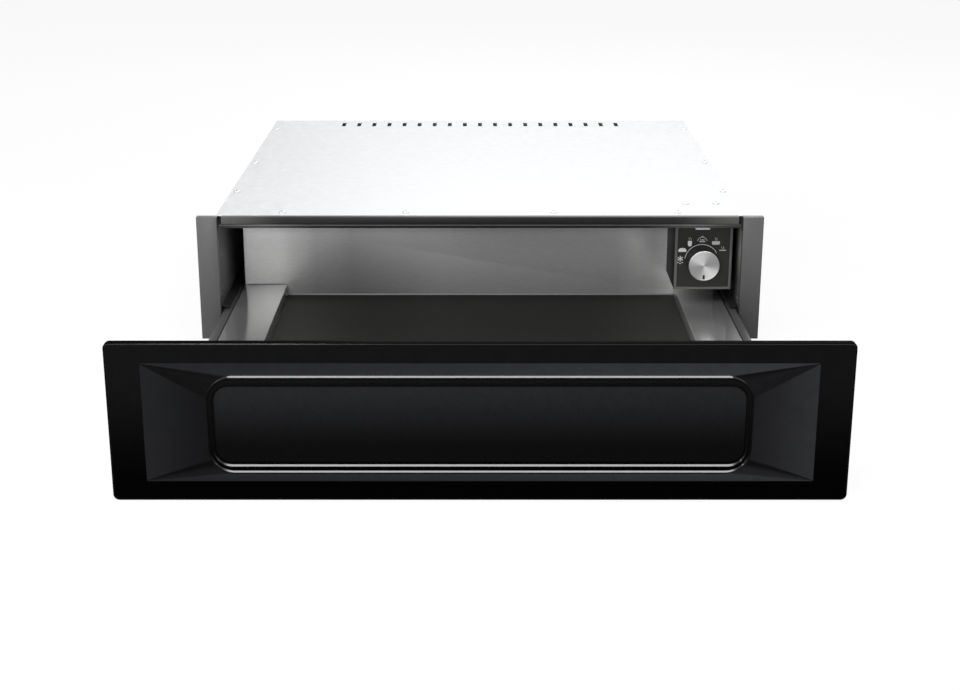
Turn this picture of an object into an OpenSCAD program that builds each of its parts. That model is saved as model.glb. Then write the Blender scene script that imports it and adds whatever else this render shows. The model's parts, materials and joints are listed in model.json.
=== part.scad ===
// Built-in warming drawer with a push-to-open front, drawn with the drawer open.
// X is to the right, Y runs from the front to the rear, Z is up, and z = 0 is the floor.
// Pieces are laid out by their distance behind the casing's front plane, with the drawer
// closed; at_front(), on_drawer() and on_slide() then put them where they stand when it is open.

/* [Front panel] */
// Width of the front panel
panel_w = 597; // [586:1:640]
// Height of the front panel
panel_h = 135.5; // [134:0.5:137]
// Depth of the panel's turned edge
panel_edge = 6; // [4:0.5:10]
// Thickness of the panel's steel
panel_skin = 1.5; // [1:0.1:2]
// Radius of the panel's corners
panel_corner_r = 5; // [2:0.5:10]
// Height of the panel's lower edge above the floor
panel_lift = 0.8; // [0.5:0.1:3]
// Depth of the carrier behind the panel
carrier_d = 14; // [10:1:20]
// Distance from the panel's edges to the carrier
carrier_inset = 12; // [8:1:14]
// Plain border at each end of the panel
bevel_border_x = 28.5; // [20:0.5:36]
// Plain border above and below the raised field
bevel_border_z = 17; // [12:0.5:20]
// Distance from the panel's ends to the ring
ring_border_x = 78.8; // [60:0.1:100]
// Distance from the panel's top and bottom to the ring
ring_border_z = 27.3; // [24:0.1:32]
// Rise of the sloping faces
bevel_rise = 6; // [3:0.5:8]
// Rise of the ring above the slopes
ring_rise = 1.5; // [0.5:0.1:3]
// Width of the ring
ring_w = 7.4; // [4:0.1:10]
// Radius of the ring's outer corners
ring_r = 20; // [12:1:24]
// Depth of the centre field below the ring
field_drop = 3; // [1:0.1:4]

/* [Casing] */
// Width over the side walls
casing_w = 544.8; // [540:0.2:556]
// Depth from the front plane to the outside of the rear panel
casing_d = 518; // [512:1:560]
// Height of the casing without its feet
casing_h = 132.5; // [131:0.5:140]
// Thickness of the casing's sheet steel
sheet = 1; // [0.8:0.1:1.2]
// Width of the side walls' turned flanges
flange_w = 11; // [9:0.5:14]
// Height of the feet
foot_h = 6; // [5:0.5:10]
// Radius of the feet
foot_r = 12; // [8:1:16]
// Width of each side trim
trim_w = 21; // [18:0.5:24]
// Depth of each side trim
trim_d = 8; // [6:0.5:12]
// Thickness of the trims' and rail's steel
trim_sheet = 1.2; // [0.8:0.1:1.6]
// Height of the top rail
rail_h = 11.1; // [9:0.1:14]
// Depth of the top rail
rail_d = 14; // [12:1:20]
// Height of the rail's lower lip
lip_h = 3.6; // [2:0.2:5]
// Gap between each end of the rail and the trim
rail_gap = 4.5; // [2:0.5:8]
// Depth of the fan chamber behind the bulkhead
chamber_d = 51; // [50:1:60]

/* [Drawer] */
// Gap between the control box and the tray's rear wall with the drawer open
open_gap = 2.3; // [2:0.1:112]
// Gap between the closed front and the trims
closed_gap = 3.5; // [3.5:0.5:6]
// Width of each side ledge
ledge_w = 46; // [30:1:56]
// Height of the side ledges
ledge_h = 29; // [26:0.5:34]
// Gap between the tray and the casing's floor
tray_lift = 2; // [1.5:0.5:4]
// Depth of the tray's floor below the ledges
floor_drop = 12.4; // [8:0.1:14]
// Thickness of the floor mat
mat_t = 2.6; // [1.5:0.1:4]
// Gap between the tray's rear wall and the casing's top
rear_wall_gap = 27.5; // [27.5:0.5:60]
// Gap between the closed tray and the bulkhead
rear_gap = 7.7; // [7:0.1:20]

/* [Slides] */
// Thickness of each telescopic slide
slide_t = 12.9; // [12.4:0.1:14]
// Height of each slide
slide_h = 31; // [28:1:31]
// Gap between the rear ends of the slides and the bulkhead
slide_end_gap = 4; // [2:1:54]
// Thickness of the slides' steel
slide_sheet = 1.2; // [1:0.1:1.4]
// Diameter of the balls
ball_d = 2.2; // [1.8:0.1:2.4]
// Length of the ball cages
cage_len = 130; // [80:5:150]
// Number of balls along each side of a cage
balls_a_row = 5; // [2:1:6]

/* [Controls] */
// Width of the control box
control_w = 59.9; // [56:0.1:62]
// Height of the control fascia
control_h = 70; // [66:1:72]
// Depth of the control box
control_d = 69; // [60:1:71]
// Distance from the front plane to the control box
control_setback = 24; // [24:0.5:30]
// Gap between the control box and the casing's side wall
control_gap = 7.1; // [4:0.1:12]
// Width of the fascia's frame bars
frame_bar = 2.6; // [1.5:0.1:4]
// Diameter of the knob
knob_d = 32; // [28:0.5:36]
// Distance that the knob stands out of the fascia
knob_reach = 21; // [18:0.5:22]
// Distance from the dial's centre to the box's outer side
dial_x = 31.7; // [28:0.1:34]
// Distance from the dial's centre to the fascia's lower edge
dial_z = 31.2; // [28:0.1:34]
// Radius of the thermostat's shaft
shaft_r = 3; // [2.5:0.1:3.5]
// Width of the indicator lens
lens_w = 15.2; // [10:0.2:20]
// Height of the indicator lens
lens_h = 2.2; // [1.5:0.1:3]

/* [Fan and heater] */
// Height of the fan's axis above the casing's floor
fan_z = 65; // [60:1:70]
// Radius of the impeller
impeller_r = 35; // [30:1:37]
// Number of blades
blades = 16; // [8:1:24]
// Radius of the heating ring's centre line
heater_r = 44; // [43:0.5:46]
// Radius of the heating tube
heater_tube_r = 3.25; // [2.5:0.25:4]
// Radius of the fan motor
motor_r = 26; // [20:1:30]
// Length of the fan motor
motor_len = 20; // [14:1:22]
// Radius of the fan's shaft
fan_shaft_r = 2.5; // [2:0.1:3]

/* [Latch] */
// Travel of the latch's plunger
latch_travel = 4; // [2:0.5:6]
// Radius of the latch's plunger
plunger_r = 4.5; // [3.5:0.1:4.6]
// Length of the latch's body
latch_len = 52; // [46:1:60]

/* [Connections] */
// Radius of the cable gland's bore
gland_bore_r = 3.6; // [3:0.1:5]
// Distance that the gland stands out of the rear panel
gland_reach = 12; // [8:1:20]
// Distance between the two fixing holes in each side wall
fixing_pitch = 40; // [30:1:60]
// Radius of the fixing holes
fixing_r = 2.25; // [1.5:0.25:3]

/* [Hidden] */

// Smoothness of round parts
$fn = 48;
// Overrun of a cut past the face that it opens
over = 0.5;
// Clearance of a screw or rod in its hole
fit = 0.1;
// Clearance of a turning or sliding shaft in its bearing
bearing_fit = 0.05;

// Casing, seen from the front plane
wall_out = casing_w / 2;
wall_in = wall_out - sheet;
base_under = foot_h;
base_top = base_under + sheet;
cover_top = base_under + casing_h;
cover_under = cover_top - sheet;
rear_in = casing_d - sheet;
bulkhead_rear = rear_in - chamber_d + sheet;
bulkhead_front = bulkhead_rear - sheet;
trim_tuck = 0.9;
trim_in = wall_in - trim_tuck;
trim_out = trim_in + trim_w;
rail_half = trim_in - rail_gap;
rail_face = 1;
lip_proud = 1.8;
lip_overhang = 1.7;
rail_bottom = cover_top - rail_h;
rail_flange_d = 12;
rail_flange_gap = 4;
rail_flange_half = wall_in - flange_w - rail_flange_gap;

// Drawer, in its closed place
tray_half = wall_in - slide_t;
tray_bottom = base_top + tray_lift;
ledge_top = tray_bottom + ledge_h;
floor_top = ledge_top - floor_drop;
tray_sheet_top = floor_top - mat_t;
tray_sheet_under = tray_sheet_top - sheet;
ledge_in = tray_half - ledge_w;
tray_rear = bulkhead_front - rear_gap;
tray_front = -closed_gap;
rear_wall_top = cover_under - rear_wall_gap;
tray_flange_w = 17.5;
rear_foot_d = 11;
rear_flange_d = 5;
mat_fit = 0.3;
carrier_back = -closed_gap;
carrier_front = carrier_back - carrier_d;
panel_face = carrier_front - panel_edge;
relief_top = panel_face - bevel_rise - ring_rise;
panel_top = panel_lift + panel_h;

// Slides
slide_drop = 0.5;
slide_z = tray_bottom - slide_drop;
slide_setback = 4;
slide_front = trim_d + slide_setback;
slide_len = bulkhead_front - slide_end_gap - slide_front;
ball_gap = ball_d + 0.4;
outer_reach = 9;
middle_z = slide_sheet + ball_gap;
middle_from = 2 * slide_sheet;
middle_clear = 2.3;
middle_to = slide_t - middle_clear;
inner_z = middle_z + slide_sheet + ball_gap;
inner_from = middle_from + slide_sheet + 1.4;
cage_t = 0.4;
cage_gap = 7.5;
cage_end = 10;
ball_pitch = (cage_len - 2 * cage_end) / (balls_a_row - 1);
slide_mid_z = slide_z + slide_h / 2;
slide_screw_inset = 30;
slide_screw_y = [slide_front + slide_screw_inset, slide_front + slide_len / 2,
                 slide_front + slide_len - slide_screw_inset];

// Screws: head radius, head height and shank radius
head_r = 3.4;
head_h = 1.5;
shank_r = 1.75;
hole_r = shank_r + fit;
screw_reach = 2.6;
post_screw_len = 9;
trim_screw_len = 5;
bracket_screw_len = 6;

// Control box
control_out = wall_in - control_gap;
control_in = control_out - control_w;
control_drop = 3.4;
fascia_top = rail_bottom - control_drop;
fascia_bottom = fascia_top - control_h;
fascia_recess = 0.8;
fascia_face = control_setback + fascia_recess;
fascia_t = 1.8;
fascia_back = fascia_face + fascia_t;
dial = [control_out - dial_x, 0, fascia_bottom + dial_z];
box_wall = 1.2;
box_rear = control_setback + control_d;
frame_d = 2.6;
knob_face = fascia_face - knob_reach;
cap_t = 2.4;
cap_recess = 0.5;
skirt_wall = 3.6;
bush_r = 5;
nut_r = 8;
nut_t = 2.6;
nut_front = fascia_face - nut_t;
thermostat_size = 32;
thermostat_d = 28;
lens_gap = 0.3;
lens_z = fascia_top - frame_bar - lens_h - lens_gap;
lens_reach = 0.6;
lens_flange = 1.2;
board_w = 24;
board_h = 9;
board_t = 1.6;
board_gap = 4;
board_post_r = 1.2;
board_post_inset = 2.5;
board_post_drop = 4;
board_front = fascia_back + board_gap;
loom_r = 2.5;
loom_inset = 8;
loom_drop = 4.6;
loom = [control_out - loom_inset, 0, fascia_top - loom_drop];
duct_w = 20;
duct_h = 13;
duct_gap = 3;
duct_bottom = rear_wall_top + duct_gap;

// Travel, which ends where the tray's rear wall is clear of the control box; the cages, which
// roll a quarter of it along the outer slides, are still inside them there
travel = tray_rear - sheet - open_gap - box_rear;
cage_front = slide_front + cage_gap + travel / 4;

// Frame of the whole object: its box is centred on the origin while the drawer is open
rear_reach = casing_d + gland_reach;
front_reach = relief_top - travel;
front_y = -(rear_reach + front_reach) / 2;

// Fan and heater
fan = [0, 0, base_top + fan_z];
heater_stand = 7;
heater_y = bulkhead_rear + heater_stand;
bracket_stand = 21;
bracket_front = bulkhead_rear + bracket_stand;
bracket_half = 51;
bracket_margin = 6;
bracket_rise = heater_r + bracket_margin;
bracket_back = bracket_front + sheet;
motor_front = bracket_back;
motor_back = motor_front + motor_len;
impeller_gap = 4;
impeller_back_gap = 3;
impeller_back = bracket_front - impeller_back_gap;
impeller_front = bulkhead_rear + impeller_gap;
hub_r = 8;
plate_t = 1.2;
blade_t = 1.2;
blade_tuck = 0.4;
blade_in = 0.62 * impeller_r;
fan_shaft_proud = 1;
fan_shaft_front = impeller_front - fan_shaft_proud;
fan_shaft_back = motor_front + 0.6 * motor_len;
heater_gap = 30;
heater_leg_wall = 0.4;
heater_leg_r = heater_tube_r + heater_leg_wall;
heater_leg_reach = 8;
post_r = 4;
post_x = 45;
post_z = 38;
post_bore = 8;
grille_hole_r = 4;
grille_pitch = 11;

// Latch, under the tray
latch_half = 14;
latch_gap = 1.5;
latch_top = tray_sheet_under - latch_gap;
latch_setback = 2;
latch_rear = tray_rear - latch_setback;
latch_front = latch_rear - latch_len;
latch_z = (base_top + latch_top) / 2;
plunger_lip = 0.6;
plunger_head_r = plunger_r + plunger_lip;
plunger_head_t = 2.5;
plunger_rest = 0.5;
plunger_tip = latch_front - latch_travel - plunger_head_t - plunger_rest;
plunger_inside = 26;
plunger_back = latch_front + plunger_inside;
plunger_wall = 1.8;
plunger_bore = 12;
latch_end_wall = 4;
latch_bore_end = latch_rear - latch_end_wall;
striker_gap = 0.3;
striker_half = 12;
striker_rear = plunger_tip - striker_gap;
striker_foot = 22;
spring_wire = 0.45;
spring_turns = 7;
spring_fit = 0.35;

// Fixings to the cabinet's sides
fixing_z = (slide_z + slide_h + fascia_bottom) / 2;
fixing_y = 20;

// Feet, cover screws and rear screws
foot_inset = 36;
foot_x = wall_in - foot_inset;
foot_front = 14;
foot_rear = 20;
foot_places = [for (x = [-foot_x, foot_x], y = [trim_d + foot_front, rear_in - foot_rear]) [x, y]];
foot_stem_r = 3;
side_screw_x = wall_in - flange_w / 2;
cover_screw_front = 20;
cover_screw_rear = 60;
cover_screw_y = [box_rear + cover_screw_front, casing_d / 2, casing_d - cover_screw_rear];
rail_screw_x = [-0.8, -0.3, 0.3, 0.8] * rail_flange_half;
rail_screw_y = rail_d + rail_flange_d / 2;
box_screw_inset = 14;
box_screw_x = [control_in + box_screw_inset, control_out - box_screw_inset];
box_screw_y = control_setback + control_d / 2;
rear_screw_inset = 24;
rear_screw_z = [base_top + rear_screw_inset, cover_under - rear_screw_inset];
bulkhead_foot_d = 10;
bulkhead_screw_x = [-120, 120];
bulkhead_screw_y = bulkhead_rear + bulkhead_foot_d / 2;
trim_post_r = 3.5;
trim_pilot_r = 1.3;
trim_post_inset = 18;
trim_post_z = [base_top + trim_post_inset, (base_top + cover_under) / 2, cover_under - trim_post_inset];
trim_post_x = trim_in + trim_w / 2;
trim_shank_r = trim_pilot_r - fit / 2;

// Panel and tray screws
panel_post_r = 4;
panel_pilot_r = 1.6;
panel_shank_r = panel_pilot_r - fit / 2;
panel_post_inset = 12;
panel_post_half = panel_w / 2 - carrier_inset - panel_post_inset;
panel_post_low = 30;
panel_post_high = 24;
panel_post_z = [panel_lift + panel_post_low, panel_top - panel_post_high];
panel_corner_posts = [for (x = [-1, 1], z = panel_post_z) [x * panel_post_half, 0, z]];
panel_posts = concat(panel_corner_posts, [[0, 0, panel_post_z[1]]]);
middle_post_rise = 1;
buffer_inset = 40;
buffer_r = 4;
buffer_edge = 2.5;
buffer_x = panel_w / 2 - carrier_inset - buffer_edge - buffer_r;
buffer_z = [ledge_top + buffer_r + buffer_edge, panel_top - buffer_inset];
buffer_gap = 0.5;
front_wall_screw_x = [-0.8, -0.3, 0.3, 0.8] * tray_half;
front_wall_screw_lift = 0.5;
front_wall_screw_z = panel_lift + carrier_inset + sheet + shank_r + front_wall_screw_lift;
tray_screw_lift = 5.5;
tray_screw_z = tray_sheet_top + tray_screw_lift;
tray_screw_end = 12;
tray_screw_y = [for (y = slide_screw_y) min(y, tray_rear - sheet - tray_screw_end)];

// Terminal block and gland
block_size = [42, 20, 22];
block_gap = 8;
block_rear = 27;
block = [foot_x - foot_stem_r - block_gap - block_size[0], rear_in - block_rear, base_top];
block_ways = 3;
gland_lift = 32;
gland = [foot_x, 0, base_top + gland_lift];
gland_body_r = 7.5;
gland_nut_r = 11;
gland_nut_t = 4;
cutout_side = 39;
cutout_rise = 28;
cutout = [bracket_half + cutout_side, 0, fan[2] + cutout_rise];
cutout_r = 8;
cutout_t = 7;
cutout_tab = 8;

// ---------- helpers ----------

// Puts a piece that stays with the casing in the object's frame
module at_front() {
    translate([0, front_y, 0]) children();
}

// Puts a drawer piece where it stands with the drawer open
module on_drawer() {
    translate([0, front_y - travel, 0]) children();
}

// Puts a slide's piece, which moves by a share of the drawer's travel
module on_slide(share) {
    translate([0, front_y - share * travel, 0]) children();
}

// Box between two corners
module box(low, high) {
    translate(low) cube(high - low);
}

// Round bar along Y
module bar_y(place, r, y0, y1) {
    translate([place[0], y0, place[2]]) rotate([-90, 0, 0]) cylinder(r = r, h = y1 - y0);
}

// Round bar along X
module bar_x(x0, x1, y, z, r) {
    translate([x0, y, z]) rotate([0, 90, 0]) cylinder(r = r, h = x1 - x0);
}

// Round bar along Z
module bar_z(x, y, z0, z1, r) {
    translate([x, y, z0]) cylinder(r = r, h = z1 - z0);
}

// Copies a piece to the other side as well
module both_sides() {
    children();
    mirror([1, 0, 0]) children();
}

// Upright slab with round corners, facing along Y
module rounded_slab(half_x, z0, z1, y0, y1, r) {
    translate([0, y1, 0]) rotate([90, 0, 0]) linear_extrude(height = y1 - y0)
        rounded_outline(half_x, z0, z1, r);
}

// Outline of that slab
module rounded_outline(half_x, z0, z1, r) {
    union() {
        translate([-half_x, z0 + r]) square([2 * half_x, z1 - z0 - 2 * r]);
        translate([-half_x + r, z0]) square([2 * (half_x - r), z1 - z0]);
        for (x = [-half_x + r, half_x - r], z = [z0 + r, z1 - r]) translate([x, z]) circle(r = r);
    }
}

// ---------- casing ----------

module base_pan() {
    color("#6d7072") at_front() difference() {
        box([-wall_out, trim_d, base_under], [wall_out, rear_in, base_top]);
        for (p = foot_places) bar_z(p[0], p[1], base_under - over, base_top + over, foot_stem_r + fit);
        for (x = bulkhead_screw_x)
            bar_z(x, bulkhead_screw_y, base_under - over, base_top + over, hole_r);
        // Air slots under the fan chamber
        for (i = [-3 : 3])
            box([i * 22 - 3, bulkhead_rear + 18, base_under - over],
                [i * 22 + 3, bulkhead_rear + 40, base_top + over]);
    }
}

// Right side wall, with a flange at each edge; the top one can start behind the control box
module side_wall(top_flange_front) {
    difference() {
        union() {
            box([wall_in, trim_d, base_top], [wall_out, rear_in, cover_under]);
            box([wall_in - flange_w, trim_d, base_top], [wall_out, rear_in, base_top + sheet]);
            box([wall_in - flange_w, top_flange_front, cover_under - sheet],
                [wall_out, rear_in, cover_under]);
            box([wall_in - flange_w, rear_in - sheet, base_top], [wall_out, rear_in, cover_under]);
            box([wall_in, trim_d, base_top], [trim_out - 1, trim_d + sheet, cover_under]);
        }
        for (y = slide_screw_y) bar_x(wall_in - over, wall_out + over, y, slide_mid_z, hole_r);
        for (y = [fixing_y, fixing_y + fixing_pitch])
            bar_x(wall_in - over, wall_out + over, y, fixing_z, fixing_r);
        for (y = cover_screw_y)
            bar_z(side_screw_x, y, cover_under - sheet - over, cover_under + over, hole_r);
        for (z = rear_screw_z)
            bar_y([side_screw_x, 0, z], hole_r, rear_in - sheet - over, rear_in + over);
        for (z = trim_post_z)
            bar_y([trim_post_x, 0, z], trim_shank_r + fit, trim_d - over, trim_d + sheet + over);
    }
}

module left_side_wall() {
    color("#3a3b3d") at_front() mirror([1, 0, 0]) side_wall(rail_d + 2);
}

module right_side_wall() {
    color("#3a3b3d") at_front() side_wall(box_rear + 2);
}

module top_cover() {
    color("#b9bcbe") at_front() difference() {
        box([-wall_out, trim_d, cover_under], [wall_out, rear_in, cover_top]);
        both_sides() for (y = cover_screw_y)
            bar_z(side_screw_x, y, cover_under - over, cover_top + over, hole_r);
        for (x = rail_screw_x)
            bar_z(x, rail_screw_y, cover_under - over, cover_top + over, hole_r);
        for (x = box_screw_x)
            bar_z(x, box_screw_y, cover_under - over, cover_top + over, hole_r);
        // Vent slots over the fan chamber
        for (i = [-9 : 9])
            box([i * 20 - 2.5, bulkhead_rear + 12, cover_under - over],
                [i * 20 + 2.5, bulkhead_rear + 36, cover_top + over]);
    }
}

module rear_panel() {
    color("#a5a8aa") at_front() difference() {
        box([-wall_out, rear_in, base_under], [wall_out, casing_d, cover_top]);
        both_sides() for (z = rear_screw_z)
            bar_y([side_screw_x, 0, z], hole_r, rear_in - over, casing_d + over);
        bar_y(gland, gland_body_r + fit, rear_in - over, casing_d + over);
        // Vent slots behind the motor
        for (i = [-6 : 6])
            box([i * 12 - 2, rear_in - over, fan[2] - 22], [i * 12 + 2, casing_d + over, fan[2] + 22]);
    }
}

module rear_bulkhead() {
    color("#8d9092") at_front() difference() {
        union() {
            box([-wall_in, bulkhead_front, base_top + sheet], [wall_in, bulkhead_rear, cover_under - sheet]);
            box([-wall_in + flange_w + 2, bulkhead_front, base_top],
                [wall_in - flange_w - 2, bulkhead_rear + bulkhead_foot_d, base_top + sheet]);
        }
        for (x = bulkhead_screw_x)
            bar_z(x, bulkhead_screw_y, base_top - over, base_top + sheet + over, hole_r);
        // Intake grille in front of the impeller
        for (i = [-3 : 3], k = [-3 : 3])
            if (norm([i, k]) < 2.9)
                bar_y([fan[0] + i * grille_pitch, 0, fan[2] + k * grille_pitch], grille_hole_r,
                      bulkhead_front - over, bulkhead_rear + over);
        // Outlet slots, which blow over the tray's rear wall
        for (i = [-5 : 5])
            box([i * 38 - 15, bulkhead_front - over, rear_wall_top + 3],
                [i * 38 + 15, bulkhead_rear + over, rear_wall_top + 9]);
        for (x = [-post_x, post_x], z = [-post_z, post_z])
            bar_y(fan + [x, 0, z], trim_shank_r + fit, bulkhead_front - over, bulkhead_rear + over);
        bar_y(loom, loom_r + 1, bulkhead_front - over, bulkhead_rear + over);
    }
}

module front_rail() {
    color("#3b3d3f") at_front() difference() {
        union() {
            box([-rail_half, rail_face, rail_bottom], [rail_half, rail_face + trim_sheet, cover_top]);
            box([-rail_half, rail_face, cover_top - sheet], [rail_half, trim_d, cover_top]);
            box([-rail_half, rail_face, rail_bottom], [rail_half, rail_d, rail_bottom + trim_sheet]);
            box([-rail_half, rail_d - trim_sheet, rail_bottom], [rail_half, rail_d, cover_under]);
            box([-rail_flange_half, rail_d - trim_sheet, cover_under - trim_sheet],
                [rail_flange_half, rail_d + rail_flange_d, cover_under]);
        }
        for (x = rail_screw_x)
            bar_z(x, rail_screw_y, cover_under - trim_sheet - over, cover_under + over, hole_r);
    }
}

// Strip along the rail's lower edge, sloping down to the front
module rail_lip() {
    half = rail_half + lip_overhang;
    color("#55585a") at_front() translate([-half, 0, 0]) rotate([90, 0, 90])
        linear_extrude(height = 2 * half)
            polygon([[rail_face, rail_bottom], [rail_face, rail_bottom + lip_h],
                     [rail_face - 0.6 * lip_proud, rail_bottom + lip_h],
                     [rail_face - lip_proud, rail_bottom + lip_h - 0.8],
                     [rail_face - lip_proud, rail_bottom]]);
}

// Right trim: a shallow box, open behind, with posts for its screws
module trim() {
    difference() {
        box([trim_in, 0, base_top], [trim_out, trim_d, cover_top]);
        box([trim_in + trim_sheet, trim_sheet, base_top + trim_sheet],
            [trim_out - trim_sheet, trim_d + over, cover_top - trim_sheet]);
    }
    for (z = trim_post_z) difference() {
        bar_y([trim_post_x, 0, z], trim_post_r, trim_sheet / 2, trim_d);
        bar_y([trim_post_x, 0, z], trim_pilot_r, trim_sheet + 0.8, trim_d + over);
    }
}

module left_trim() {
    color("#5c5e60") at_front() mirror([1, 0, 0]) trim();
}

module right_trim() {
    color("#5c5e60") at_front() trim();
}

module feet() {
    color("#1c1c1d") at_front() for (p = foot_places) translate([p[0], p[1], 0]) {
        cylinder(r1 = foot_r - 1.5, r2 = foot_r, h = foot_h);
        cylinder(r = foot_stem_r, h = foot_h + sheet + 2);
    }
}

// Screw whose head lies against z = 0 and whose shank points down
module screw(r, shank) {
    cylinder(r = 2 * r, h = head_h);
    translate([0, 0, -shank]) cylinder(r = r, h = shank + head_h / 2);
}

module casing_screws() {
    color("#c9cccf") at_front() {
        both_sides() for (y = cover_screw_y)
            translate([side_screw_x, y, cover_top]) screw(shank_r, screw_reach + sheet);
        for (x = rail_screw_x) translate([x, rail_screw_y, cover_top]) screw(shank_r, screw_reach + sheet);
        for (x = box_screw_x) translate([x, box_screw_y, cover_top]) screw(shank_r, screw_reach + sheet);
        both_sides() for (z = rear_screw_z)
            translate([side_screw_x, casing_d, z]) rotate([-90, 0, 0]) screw(shank_r, screw_reach + sheet);
        for (x = bulkhead_screw_x)
            translate([x, bulkhead_screw_y, base_under]) rotate([180, 0, 0])
                screw(shank_r, screw_reach + sheet);
        both_sides() for (z = trim_post_z)
            translate([trim_post_x, trim_d + sheet, z]) rotate([-90, 0, 0])
                screw(trim_shank_r, trim_screw_len);
        for (x = [-post_x, post_x], z = [-post_z, post_z])
            translate(fan + [x, bulkhead_front, z]) rotate([90, 0, 0]) screw(trim_shank_r, bracket_screw_len);
    }
}

// ---------- connections ----------

module cable_gland() {
    color("#222324") at_front() difference() {
        union() {
            bar_y(gland, gland_body_r, rear_in - 8, casing_d + gland_reach);
            bar_y(gland, gland_nut_r, casing_d, casing_d + gland_nut_t);
            bar_y(gland, gland_nut_r, rear_in - gland_nut_t, rear_in);
        }
        bar_y(gland, gland_bore_r, rear_in - 8 - over, casing_d + gland_reach + over);
    }
}

module terminal_block() {
    way = block_size[0] / block_ways;
    color("#e3e0d6") at_front() difference() {
        box(block, block + block_size);
        for (i = [0 : block_ways - 1]) {
            bar_z(block[0] + (i + 0.5) * way, block[1] + 6, block[2] + 12, block[2] + 24, 2.5);
            bar_y([block[0] + (i + 0.5) * way, 0, block[2] + 7], 2, block[1] - over,
                  block[1] + block_size[1] + over);
        }
    }
}

// Channel along the right side wall that carries the loom
module wiring_duct() {
    color("#2b2c2d") at_front() difference() {
        box([wall_in - duct_w, box_rear + 2, duct_bottom],
            [wall_in, bulkhead_front - 2, duct_bottom + duct_h]);
        box([wall_in - duct_w + 1, box_rear + 2 - over, duct_bottom + 1],
            [wall_in - 1, bulkhead_front - 2 + over, duct_bottom + duct_h + over]);
    }
}

module wiring_loom() {
    drop_y = block[1] + block_size[1] / 2;
    turn_r = 9;
    end_x = block[0] + block_size[0];
    end_z = block[2] + 7;
    color("#1f1f20") at_front() union() {
        bar_y(loom, loom_r, box_rear - 14, drop_y - turn_r);
        translate([loom[0], drop_y - turn_r, loom[2] - turn_r]) rotate([90, 0, 90])
            rotate_extrude(angle = 90) translate([turn_r, 0]) circle(r = loom_r);
        bar_z(loom[0], drop_y, end_z + turn_r, loom[2] - turn_r, loom_r);
        translate([loom[0] - turn_r, drop_y, end_z + turn_r]) rotate([90, 0, 0]) rotate([0, 0, -90])
            rotate_extrude(angle = 90) translate([turn_r, 0]) circle(r = loom_r);
        bar_x(end_x, loom[0] - turn_r, drop_y, end_z, loom_r);
    }
}

// ---------- fan and heater ----------

module fan_motor() {
    color("#9a9c9e") at_front() difference() {
        union() {
            bar_y(fan, motor_r, motor_front, motor_back - 3);
            bar_y(fan, motor_r * 0.6, motor_back - 4, motor_back);
        }
        bar_y(fan, fan_shaft_r + bearing_fit, motor_front - over, fan_shaft_back + 1);
    }
}

// Plate on four posts that holds the motor and the heating ring
module motor_bracket() {
    color("#b0b3b5") at_front() difference() {
        union() {
            box(fan + [-bracket_half, bracket_front, -bracket_rise],
                fan + [bracket_half, bracket_back, bracket_rise]);
            for (x = [-post_x, post_x], z = [-post_z, post_z])
                bar_y(fan + [x, 0, z], post_r, bulkhead_rear, bracket_front + sheet / 2);
        }
        bar_y(fan, fan_shaft_r + 3, bracket_front - over, bracket_back + over);
        for (x = [-post_x, post_x], z = [-post_z, post_z])
            bar_y(fan + [x, 0, z], trim_pilot_r, bulkhead_rear - over,
                  bulkhead_rear + post_bore);
        for (a = [-90 - heater_gap / 2, -90 + heater_gap / 2])
            bar_y(fan + heater_r * [cos(a), 0, sin(a)], heater_leg_r + fit, bracket_front - over,
                  bracket_back + over);
    }
}

// Tubular heater: an open ring, with its two ends turned back through the bracket
module heating_ring() {
    color("#6a5a50") at_front() translate(fan + [0, heater_y, 0]) union() {
        rotate([90, 0, 0]) rotate([0, 0, -90 + heater_gap / 2])
            rotate_extrude(angle = 360 - heater_gap) translate([heater_r, 0]) circle(r = heater_tube_r);
        for (a = [-90 - heater_gap / 2, -90 + heater_gap / 2])
            bar_y(heater_r * [cos(a), 0, sin(a)], heater_leg_r, -heater_leg_r,
                  bracket_back + heater_leg_reach - heater_y);
    }
}

module thermal_cutout() {
    color("#caa98a") at_front() {
        bar_y(cutout, cutout_r, bulkhead_rear, bulkhead_rear + cutout_t);
        for (x = [-4.5, 3])
            box(cutout + [x, bulkhead_rear + cutout_t - 1, -3],
                cutout + [x + 1.5, bulkhead_rear + cutout_t + cutout_tab, 3]);
    }
}

// Radial impeller: back plate, hub and blades
module fan_impeller() {
    color("#c4c6c8") at_front() difference() {
        union() {
            bar_y(fan, impeller_r, impeller_back - plate_t, impeller_back);
            bar_y(fan, hub_r, impeller_front, impeller_back);
            for (i = [0 : blades - 1]) translate(fan) rotate([0, i * 360 / blades, 0])
                box([blade_in, impeller_front, -blade_t / 2],
                    [impeller_r - blade_tuck, impeller_back, blade_t / 2]);
        }
        bar_y(fan, fan_shaft_r, impeller_front - over, impeller_back + over);
    }
}

module fan_shaft() {
    color("#d8dadb") at_front() bar_y(fan, fan_shaft_r, fan_shaft_front, fan_shaft_back);
}

// ---------- control box ----------

module control_box() {
    color("#2a2b2c") at_front() difference() {
        box([control_in, fascia_back, fascia_bottom], [control_out, box_rear, cover_under]);
        box([control_in + box_wall, fascia_back - over, fascia_bottom + box_wall],
            [control_out - box_wall, box_rear - box_wall, cover_under - box_wall]);
        bar_y(loom, loom_r + fit, box_rear - box_wall - over, box_rear + over);
        for (x = box_screw_x)
            bar_z(x, box_screw_y, cover_under - box_wall - over, cover_under + over, hole_r);
    }
}

module fascia_frame() {
    color("#6b6d6e") at_front() difference() {
        box([control_in, control_setback, fascia_bottom], [control_out, fascia_back, fascia_top]);
        box([control_in + frame_bar, control_setback - over, fascia_bottom + frame_bar],
            [control_out - frame_bar, fascia_back + over, fascia_top - frame_bar]);
    }
}

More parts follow.
